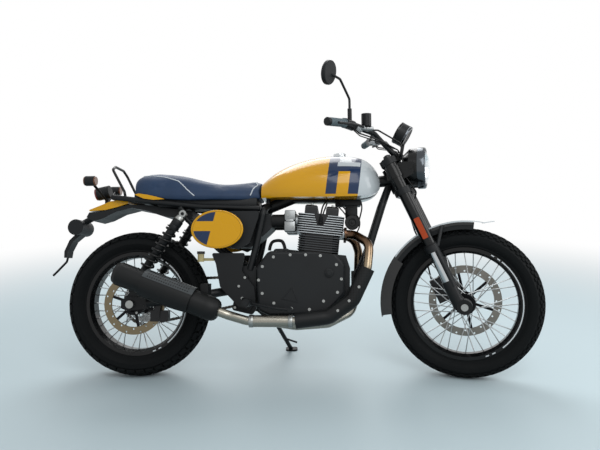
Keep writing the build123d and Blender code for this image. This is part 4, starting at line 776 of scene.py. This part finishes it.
def board_wedges(tree):
    """Navy left of a slanted line inside the border, but for the bare band where a name would be."""
    parts = axes(tree)
    height = parts["Z"]
    line = calc(tree, "MULTIPLY_ADD", height, LINE_SLOPE, LINE_X - LINE_SLOPE * LINE_Z)
    behind = calc(tree, "LESS_THAN", parts["X"], line)
    outside_band = calc(tree, "MAXIMUM", within(tree, height, 0.679, 1.0), within(tree, height, 0.0, 0.637))
    reach = reach_from(tree, located(tree), BOARD_C, (1 / BOARD_HALF_X, 0, 1 / BOARD_HALF_Z))
    inside = within(tree, reach, -1.0, 0.9)
    wedges = calc(tree, "MULTIPLY", calc(tree, "MULTIPLY", behind, outside_band), inside)
    body = mix(tree, wedges, YELLOW, NAVY)
    return mix(tree, within(tree, reach, 0.92, 0.935), body, "7A5A10")


dress(grained("gloss_tank_enamel", tank_stripes, roughness=0.2, grain_mm=3.0, bump=0.006, spread=0.03,
    coat=0.3), "fuel_tank")
dress(grained("gloss_board_enamel", board_wedges, roughness=0.28, grain_mm=3.0, bump=0.01, spread=0.04,
    coat=0.15), "number_boards")
dress(grained("gloss_yellow_enamel", YELLOW, roughness=0.24, grain_mm=3.0, bump=0.01, spread=0.04, coat=0.2),
    "tail_panels")
cap_chrome = grained("satin_chromed_cap", "C4C8CA", metallic=1.0, roughness=0.25, grain_mm=2.0, bump=0.01)
dress(cap_chrome, "fuel_cap")
CAP_BASE, CAP_WAY = Vector((0.912, 0, 0.976)), Vector((-1, 0, 26)).normalized()
placed(spun(mm((0, 31), (14, 31), (16, 29), (22, 29), (26.2, 27.5), (28.2, 24.5), (28.2, 20), (24, 18)), 40),
    [aimed(CAP_BASE, CAP_WAY)], "filler_cap_lid", "chassis", cap_chrome)

box_plastic = grained("moulded_black_plastic", "0F1113", roughness=0.5, grain_mm=0.8, bump=0.25,
    tint="171A1C")
dress(box_plastic, "airbox", "side_covers", "rear_fender", "plate_holder", "mirrors", "instrument",
    "fender_stays", "tail_lamps")


# ---------- coils, horn and wires
# Under the tank nose hang the ignition coils, a small horn and sheathed wires, all black.
sheath = grained("black_wire_sheath", "0C0D0E", roughness=0.5, grain_mm=0.8, bump=0.2)
settle(joined([boxed((0.89, -0.036, 0.762), (1.006, 0.036, 0.789), 0.004),
    boxed((0.936, -0.032, 0.706), (0.99, 0.032, 0.766), 0.006),
    boxed((0.7, -0.03, 0.781), (0.894, 0.03, 0.789), 0.003)]), "ignition_coils", "chassis", box_plastic)
placed(spun(mm((0, -10), (20, -10), (32, -4), (34, 3), (32, 6), (18, 7), (14, 4), (6, 4), (5, 8), (0, 9)),
    32), [aimed((0.964, -0.046, 0.684), (0.25, -1, 0))], "horn", "chassis", sheath)
wire_routes = (
    mm((1004, -24, 786), (1012, -34, 760), (1002, -36, 715), (992, -34, 680), (975, -30, 655)),
    mm((880, -50, 790), (912, -56, 768), (940, -52, 738), (950, -40, 712)),
    mm((985, -30, 720), (1000, -38, 700), (998, -40, 660), (985, -34, 640)),
    mm((905, 30, 765), (938, 48, 735), (948, 44, 700), (955, 30, 668)))
wires = [tube(route, 0.0032, 8) for route in wire_routes]
settle(joined(wires), "wiring_under_tank", "chassis", sheath)


# ---------- seat
# A long foam seat in navy leathercloth on a black base. The cover is inflated by a cloth
# simulation over the foam's shape, then pale piping is laid on it in single lines.
def hide_pattern(tree):
    """Two close navy tones in soft patches."""
    here = add(tree, "TexCoord")
    tone = add(tree, "TexNoise", {"Vector": here.outputs["Object"], "Scale": 14.0, "Detail": 5.0})
    return mix(tree, tone.outputs["Fac"], "16283F", "1D3553")


seat_hide = grained("navy_leathercloth", hide_pattern, roughness=0.55, grain_mm=1.3, bump=0.5, shine=0.3)
foam = frame["nodes"]["seat"]
seat = foam.copy()
seat.data = foam.data.copy()
for key in list(seat.keys()):
    del seat[key]
show(seat)
seat.parent = None
seat.matrix_world = foam.matrix_world
pick(seat)
bpy.ops.object.transform_apply(location=True, rotation=True, scale=True)
seat.data.transform(UPRIGHT.inverted())
seat.data.remesh_voxel_size = 0.006
bpy.ops.object.voxel_remesh()
start_shape = [vertex.co.copy() for vertex in seat.data.vertices]
SWELL, BASE_Z, HOLD_HEIGHT, CLOTH_STEPS = 0.008, 0.8, 0.03, 20
cloth = seat.modifiers.new("cover", "CLOTH")
cloth.settings.use_pressure = True
cloth.settings.uniform_pressure_force = 4.0
cloth.settings.effector_weights.gravity = 0.0
cloth.settings.quality = 5
for step in range(1, CLOTH_STEPS + 1):
    bpy.context.scene.frame_set(step)
swollen = seat.evaluated_get(bpy.context.evaluated_depsgraph_get()).to_mesh()
grown = [vertex.co.copy() for vertex in swollen.vertices]
bpy.ops.object.modifier_remove(modifier="cover")
for vertex, old, new in zip(seat.data.vertices, start_shape, grown):
    step = new - old
    held = max(0.0, min(1.0, (old.z - BASE_Z) / HOLD_HEIGHT))
    vertex.co = old + step * (held * min(1.0, SWELL / max(step.length, 1e-6)))
bpy.context.scene.frame_set(1)
finer = seat.modifiers.new("finer", "SUBSURF")
finer.levels = finer.render_levels = 1
settle(seat, "seat_cover", "chassis", seat_hide, angle=60)
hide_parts("seat")

piping = grained("pale_seat_piping", "B9C0C6", roughness=0.5, grain_mm=1.0, bump=0.1)
PIPING_R, PIPING_STEPS, STANDS_OFF = 0.0024, 14, 0.0006


def laid(route):
    """A line of piping drawn down on the seat's own surface from points round it."""
    aims = [Vector(start).lerp(Vector(end), i / PIPING_STEPS)
        for start, end in zip(route, route[1:]) for i in range(PIPING_STEPS)]
    points = []
    for aim in aims + [Vector(route[-1])]:
        spot, normal = seat.closest_point_on_mesh(UPRIGHT @ aim)[1:3]
        points.append(UPRIGHT.inverted() @ (spot + normal * STANDS_OFF))
    return tube(points, PIPING_R, 8)


over_front = mm((530, -150, 800), (537, -140, 860), (545, -60, 930), (545, 60, 930), (537, 140, 860),
    (530, 150, 800))
hump_side = mm((272, -150, 797), (249, -150, 825), (224, -150, 852), (197, -130, 880), (142, -115, 905),
    (83, -105, 925), (20, -85, 930), (-20, 0, 925))
other_side = [(x, -y, z) for x, y, z in reversed(hump_side[:-1])]
lines = [laid(over_front), laid(hump_side + other_side)]
settle(joined(lines), "seat_piping", "chassis", piping, angle=60)
base_parts = [boxed((0.1, -0.1, 0.752), (0.545, 0.1, 0.792), 0.008),
    boxed((-0.01, -0.098, 0.782), (0.13, 0.098, 0.822), 0.008)]
settle(joined(base_parts), "seat_base_tray", "chassis", box_plastic)


# ---------- tail, fork and front end
# Red and amber lenses in black lamps, a clear yellowish fluid cup, gloss black fork tubes with hard
# chrome stanchions, and a pale silver guard with a black flap, its sides below the rolled edge painted black
# as painted shade.
def lens_colours(tree):
    """Red in the middle lamp, amber in the outer ones."""
    return mix(tree, within(tree, axes(tree)["Y"], -0.05, 0.05), "5E3514", "6E0E0E")


dress(grained("coloured_lens_plastic", lens_colours, roughness=0.15, grain_mm=3.0, bump=0.3, coat=0.8),
    "lamp_lenses")
dress(grained("orange_prism_reflector", "8E2B0C", roughness=0.25, grain_mm=2.5, bump=0.6, coat=0.1,
    tint="A84415"), "fork_reflectors")


def fluid_cup(tree):
    """A pale cup under a black lid."""
    return mix(tree, within(tree, axes(tree)["Z"], 0.5415, 1.0), "A59A6E", "141516")


dress(grained("translucent_fluid_cup", fluid_cup, roughness=0.22, grain_mm=3.0, bump=0.05, coat=0.3),
    "brake_reservoir")
gloss_black = grained("gloss_black_paint", "07090A", roughness=0.22, grain_mm=3.0, bump=0.015, coat=0.12)
dress(gloss_black, "fork_outers", "headlight_shell")
dress(grained("hard_chrome", "B4B8BA", metallic=1.0, roughness=0.1, grain_mm=2.0, bump=0.01, spread=0.03),
    "fork_inners")
FLAP_X, EDGE_R = 1.166, 0.3575


def guard_crown_and_painted_side_shade(tree):
    """Pale paint on the guard's crown and its rolled edge, black on the flap, and painted shade as black on
    the sides below the edge that do not face outwards.
    """
    point = located(tree, STEERED)
    away = vector(tree, "SUBTRACT", point, tuple(FRONT_AXLE))
    here = add(tree, "TexCoord")
    facing = add(tree, "Mapping", {"Vector": here.outputs["Normal"],
        "Rotation": STEERED.inverted().to_euler()})
    toward = vector(tree, "DOT_PRODUCT", away, facing)
    reach = reach_from(tree, point, FRONT_AXLE)
    # inner is painted shade: sides below the rolled edge that do not face outwards are painted black
    inner = calc(tree, "MULTIPLY", calc(tree, "LESS_THAN", toward, 0.2),
        calc(tree, "LESS_THAN", reach, EDGE_R))
    flap = calc(tree, "LESS_THAN", add(tree, "SeparateXYZ", {0: point}).outputs["X"], FLAP_X)
    return mix(tree, calc(tree, "MAXIMUM", inner, flap), "B7BEC1", "0E1011")


dress(grained("pale_silver_enamel_with_painted_side_shade", guard_crown_and_painted_side_shade, metallic=0.15, roughness=0.26, grain_mm=3.0, bump=0.01,
    coat=0.1), "front_fender")
# Thin flat black rings on both sides of the guard, between the tyre and the guard's edge: painted shade, a
# dark sheet standing for the shade on the guard's sides.
SHADE_RING_INNER_R, SHADE_RING_Y, SHADE_RING_T = 0.326, 0.0555, 0.001
placed(spun([(SHADE_RING_INNER_R, 0.0), (SHADE_RING_INNER_R, SHADE_RING_T), (EDGE_R, SHADE_RING_T), (EDGE_R, 0.0), (SHADE_RING_INNER_R, 0.0)],
    30, radians(64)), [moved((0, 0, y)) @ about_z(-83) for y in (-SHADE_RING_Y - SHADE_RING_T, SHADE_RING_Y)],
    "fender_liner", "steering", box_plastic, HUBS["front"])
dress(grained("anodised_black_caliper", "141517", metallic=0.5, roughness=0.36, grain_mm=1.0),
    "front_caliper", "rear_caliper")
dress(grained("black_cable_sheath", "0D0E0F", roughness=0.4, grain_mm=1.0, bump=0.1), "control_cables",
    "brake_hose")
fork_cap = spun(mm((0, 13.5), (9.5, 13.5), (10, 12.5), (10, 10.5), (15.8, 10.2), (16.5, 9), (16.5, 0)), 6)


def column(s, t, y=0.0):
    """A point s along the steering axis from the ground, t forward of it."""
    return Vector((WHEELBASE + TRAIL - s * sin(RAKE) + t * cos(RAKE), y, s * cos(RAKE) + t * sin(RAKE)))


steer_way = Vector((-sin(RAKE), 0, cos(RAKE)))
placed(fork_cap, [aimed(column(1.059, 0.026, y), steer_way) for y in (-0.105, 0.105)], "fork_caps",
    "steering", powder_coat)
placed(spun(mm((21.7, -12), (25.5, -12), (27.5, -8), (27.8, 4)), 40),
    [aimed(column(0.64, 0.026, y), steer_way) for y in (-0.105, 0.105)], "fork_seals", "steering",
    boot_rubber)

# Headlamp: black bucket, a chrome rim rolled over the clear glass and darkened as painted reflection of dark
# surroundings, and a bright bowl with its
# bulb behind it. Dial: black cup, a chrome back ring darkened the same way, and a face with plain ticks and a
# needle.
UPPER_YOKE = column(1.028, 0.0)
LAMP_C = UPPER_YOKE + Vector((0.103, 0, -0.002))
lamp_place = aimed(LAMP_C, (1, 0, 0))
glass = bpy.data.materials.new("clear_lamp_glass")
glass.use_nodes = True
glass_shader = glass.node_tree.nodes["Principled BSDF"]
glass_shader.inputs["Base Color"].default_value = colour("F4F8FA")
glass_shader.inputs["Roughness"].default_value = 0.02
glass_shader.inputs["Transmission Weight"].default_value = 1.0
here = add(glass.node_tree, "TexCoord")
flutes = add(glass.node_tree, "TexWave", {"Vector": here.outputs["Object"], "Scale": 38.0},
    bands_direction="Y")
ribbed = add(glass.node_tree, "Bump", {"Height": flutes.outputs["Fac"], "Strength": 0.25, "Distance": 0.0006})
glass.node_tree.links.new(ribbed.outputs[0], glass_shader.inputs["Normal"])
dress(glass, "headlight_lens")
# The chrome's colour is darkened: a painted reflection of dark surroundings in place of the bright studio it
# would mirror.
painted_dark_reflection_chrome = grained("chrome_darkened_as_painted_reflection", "4A4E52", metallic=1.0, roughness=0.16, grain_mm=2.0, bump=0.01,
    spread=0.03)
placed(spun(mm((88.5, 30), (92.4, 31.5), (93, 36), (93, 55), (91.8, 62.5), (88.5, 66.5), (84.8, 66.5),
    (83.4, 62.5)), 64), [lamp_place], "headlamp_rim", "steering", painted_dark_reflection_chrome)
bowl = spun(mm((10, 30.2), (30, 31.2), (52, 34.5), (70, 39.5), (82.2, 45.2)), 64)
bowl_silver = grained("silvered_reflector", "E6E9EB", metallic=1.0, roughness=0.08, grain_mm=4.0, bump=0.01,
    spread=0.02)
placed(bowl, [lamp_place], "headlamp_bowl", "steering", bowl_silver)
placed(spun(mm((0, 45), (6, 44), (8.5, 40), (8.5, 30.5)), 24), [lamp_place], "headlamp_bulb", "steering",
    bowl_silver)
DIAL_C, DIAL_WAY = UPPER_YOKE + Vector((0.065, 0, 0.152)), Vector((-0.86, 0, 0.51)).normalized()
dial_place = aimed(DIAL_C, DIAL_WAY)
bezel = spun(mm((45.5, 22.2), (47, 25.2), (49.5, 25.6), (51.2, 23.5), (51.2, 15), (50, 13.5)), 64)
back_ring = spun(mm((40, -27.5), (48, -27.5), (50.8, -25), (51.2, -19), (50, -17.5)), 64)
placed(bezel, [dial_place], "dial_bezel", "steering", gloss_black)
placed(back_ring, [dial_place], "dial_back_ring", "steering", painted_dark_reflection_chrome)
dial_black = grained("matt_black_dial", "0C0D0E", roughness=0.6, grain_mm=1.0, bump=0.05)
placed(spun(mm((0, 22.8), (46.2, 22.6)), 48), [dial_place], "dial_face", "steering", dial_black)
dial_white = grained("pale_dial_print", "E8EAEA", roughness=0.5, grain_mm=1.0, bump=0.02)
placed(boxed((0.0365, -0.0006, 0.0229), (0.043, 0.0006, 0.0234), 0.0001, 1),
    [dial_place @ about_z(a) for a in range(-130, 131, 13)], "dial_ticks", "steering", dial_white)
needle_red = grained("orange_needle", "D8481A", roughness=0.4, grain_mm=1.0, bump=0.02)
placed(joined([boxed((-0.006, -0.0008, 0.0236), (0.034, 0.0008, 0.0242), 0.0002, 1),
    spun(mm((0, 25.2), (4, 25), (5, 24.2), (5, 23)), 20)]), [dial_place @ about_z(-128)], "dial_needle",
    "steering", needle_red)

# Hand controls: black housings with a bare alloy perch where each lever turns, and an alloy pump.
def perch_tone(tree):
    """Bare alloy at the lever perches, black elsewhere."""
    parts = axes(tree, STEERED)
    side = calc(tree, "ABSOLUTE", parts["Y"])
    low = within(tree, parts["Z"], 0.0, 1.0955)
    perch = calc(tree, "MULTIPLY", within(tree, side, 0.214, 0.2635), low)
    return mix(tree, perch, "0F1113", "A4A8AA")


dress(grained("hand_controls_with_alloy_perch", perch_tone, roughness=0.4, grain_mm=0.8, bump=0.2),
    "hand_controls")

pump_at = UPPER_YOKE + Vector((-0.088, -0.24, 0.157))
placed(spun(mm((0, -4), (8.5, -3), (10.5, 0), (10.5, 30), (12.5, 32), (12.5, 40), (10, 42), (10, 58), (6, 61),
    (0, 61)), 24), [aimed(pump_at, (0.93, 0.36, -0.05))], "brake_pump", "steering", cast_alloy)

# Grips: ribbed rubber sleeves with a flange and round bar ends. Mirror: silvered glass in a black
# shell on the right.
# The grey-blue tone of the grips is painted sheen, the light reflected off the rubber.
grip_rubber = grained("grip_rubber_with_painted_sheen", "4C585D", roughness=0.62, grain_mm=1.2, bump=0.3, tint="5B686D")
grip_outline = mm((11.2, 0), (20.5, 0), (20.5, 4), (17, 5.5))
for i in range(20):
    s = 0.009 + 0.0042 * i
    grip_outline += [(0.0172, s), (0.0172, s + 0.0024), (0.0163, s + 0.003), (0.0163, s + 0.0039)]
grip_outline += mm((17, 95.5), (16, 98.5), (11.2, 98.5))
BAR_END, BAR_BEND = UPPER_YOKE + Vector((-0.178, 0.415, 0.164)), UPPER_YOKE + Vector((-0.13, 0.31, 0.17))
bar_way = (BAR_END - BAR_BEND).normalized()
bar_start = BAR_BEND + bar_way * ((0.32 - BAR_BEND.y) / bar_way.y)
grip = spun(grip_outline, 32)
flip = Matrix.Scale(-1, 4, (0, 1, 0))
right_start = flip @ bar_start
right_way = flip.to_3x3() @ bar_way
grips = placed(grip, [aimed(bar_start, bar_way), aimed(right_start, right_way)], "ribbed_grips", "steering",
    grip_rubber)
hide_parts("grips")
placed(spun(mm((0, 116.5), (15, 116), (17.2, 113.5), (17.2, 101), (15.5, 99.5), (0, 98.5)), 32),
    [aimed(bar_start, bar_way), aimed(right_start, right_way)], "bar_ends", "steering", powder_coat)
MIRROR_C, MIRROR_WAY = UPPER_YOKE + Vector((-0.177, -0.4, 0.36)), Vector((-0.95, 0.25, 0.22)).normalized()
mirror_glass = grained("silvered_mirror_glass", "DDE2E4", metallic=1.0, roughness=0.03, grain_mm=9.0,
    bump=0.002, spread=0.01)
placed(spun(mm((0, 10.8), (42.5, 10.8), (43.5, 10), (43.5, 9)), 48), [aimed(MIRROR_C, MIRROR_WAY)],
    "mirror_pane", "steering", mirror_glass)
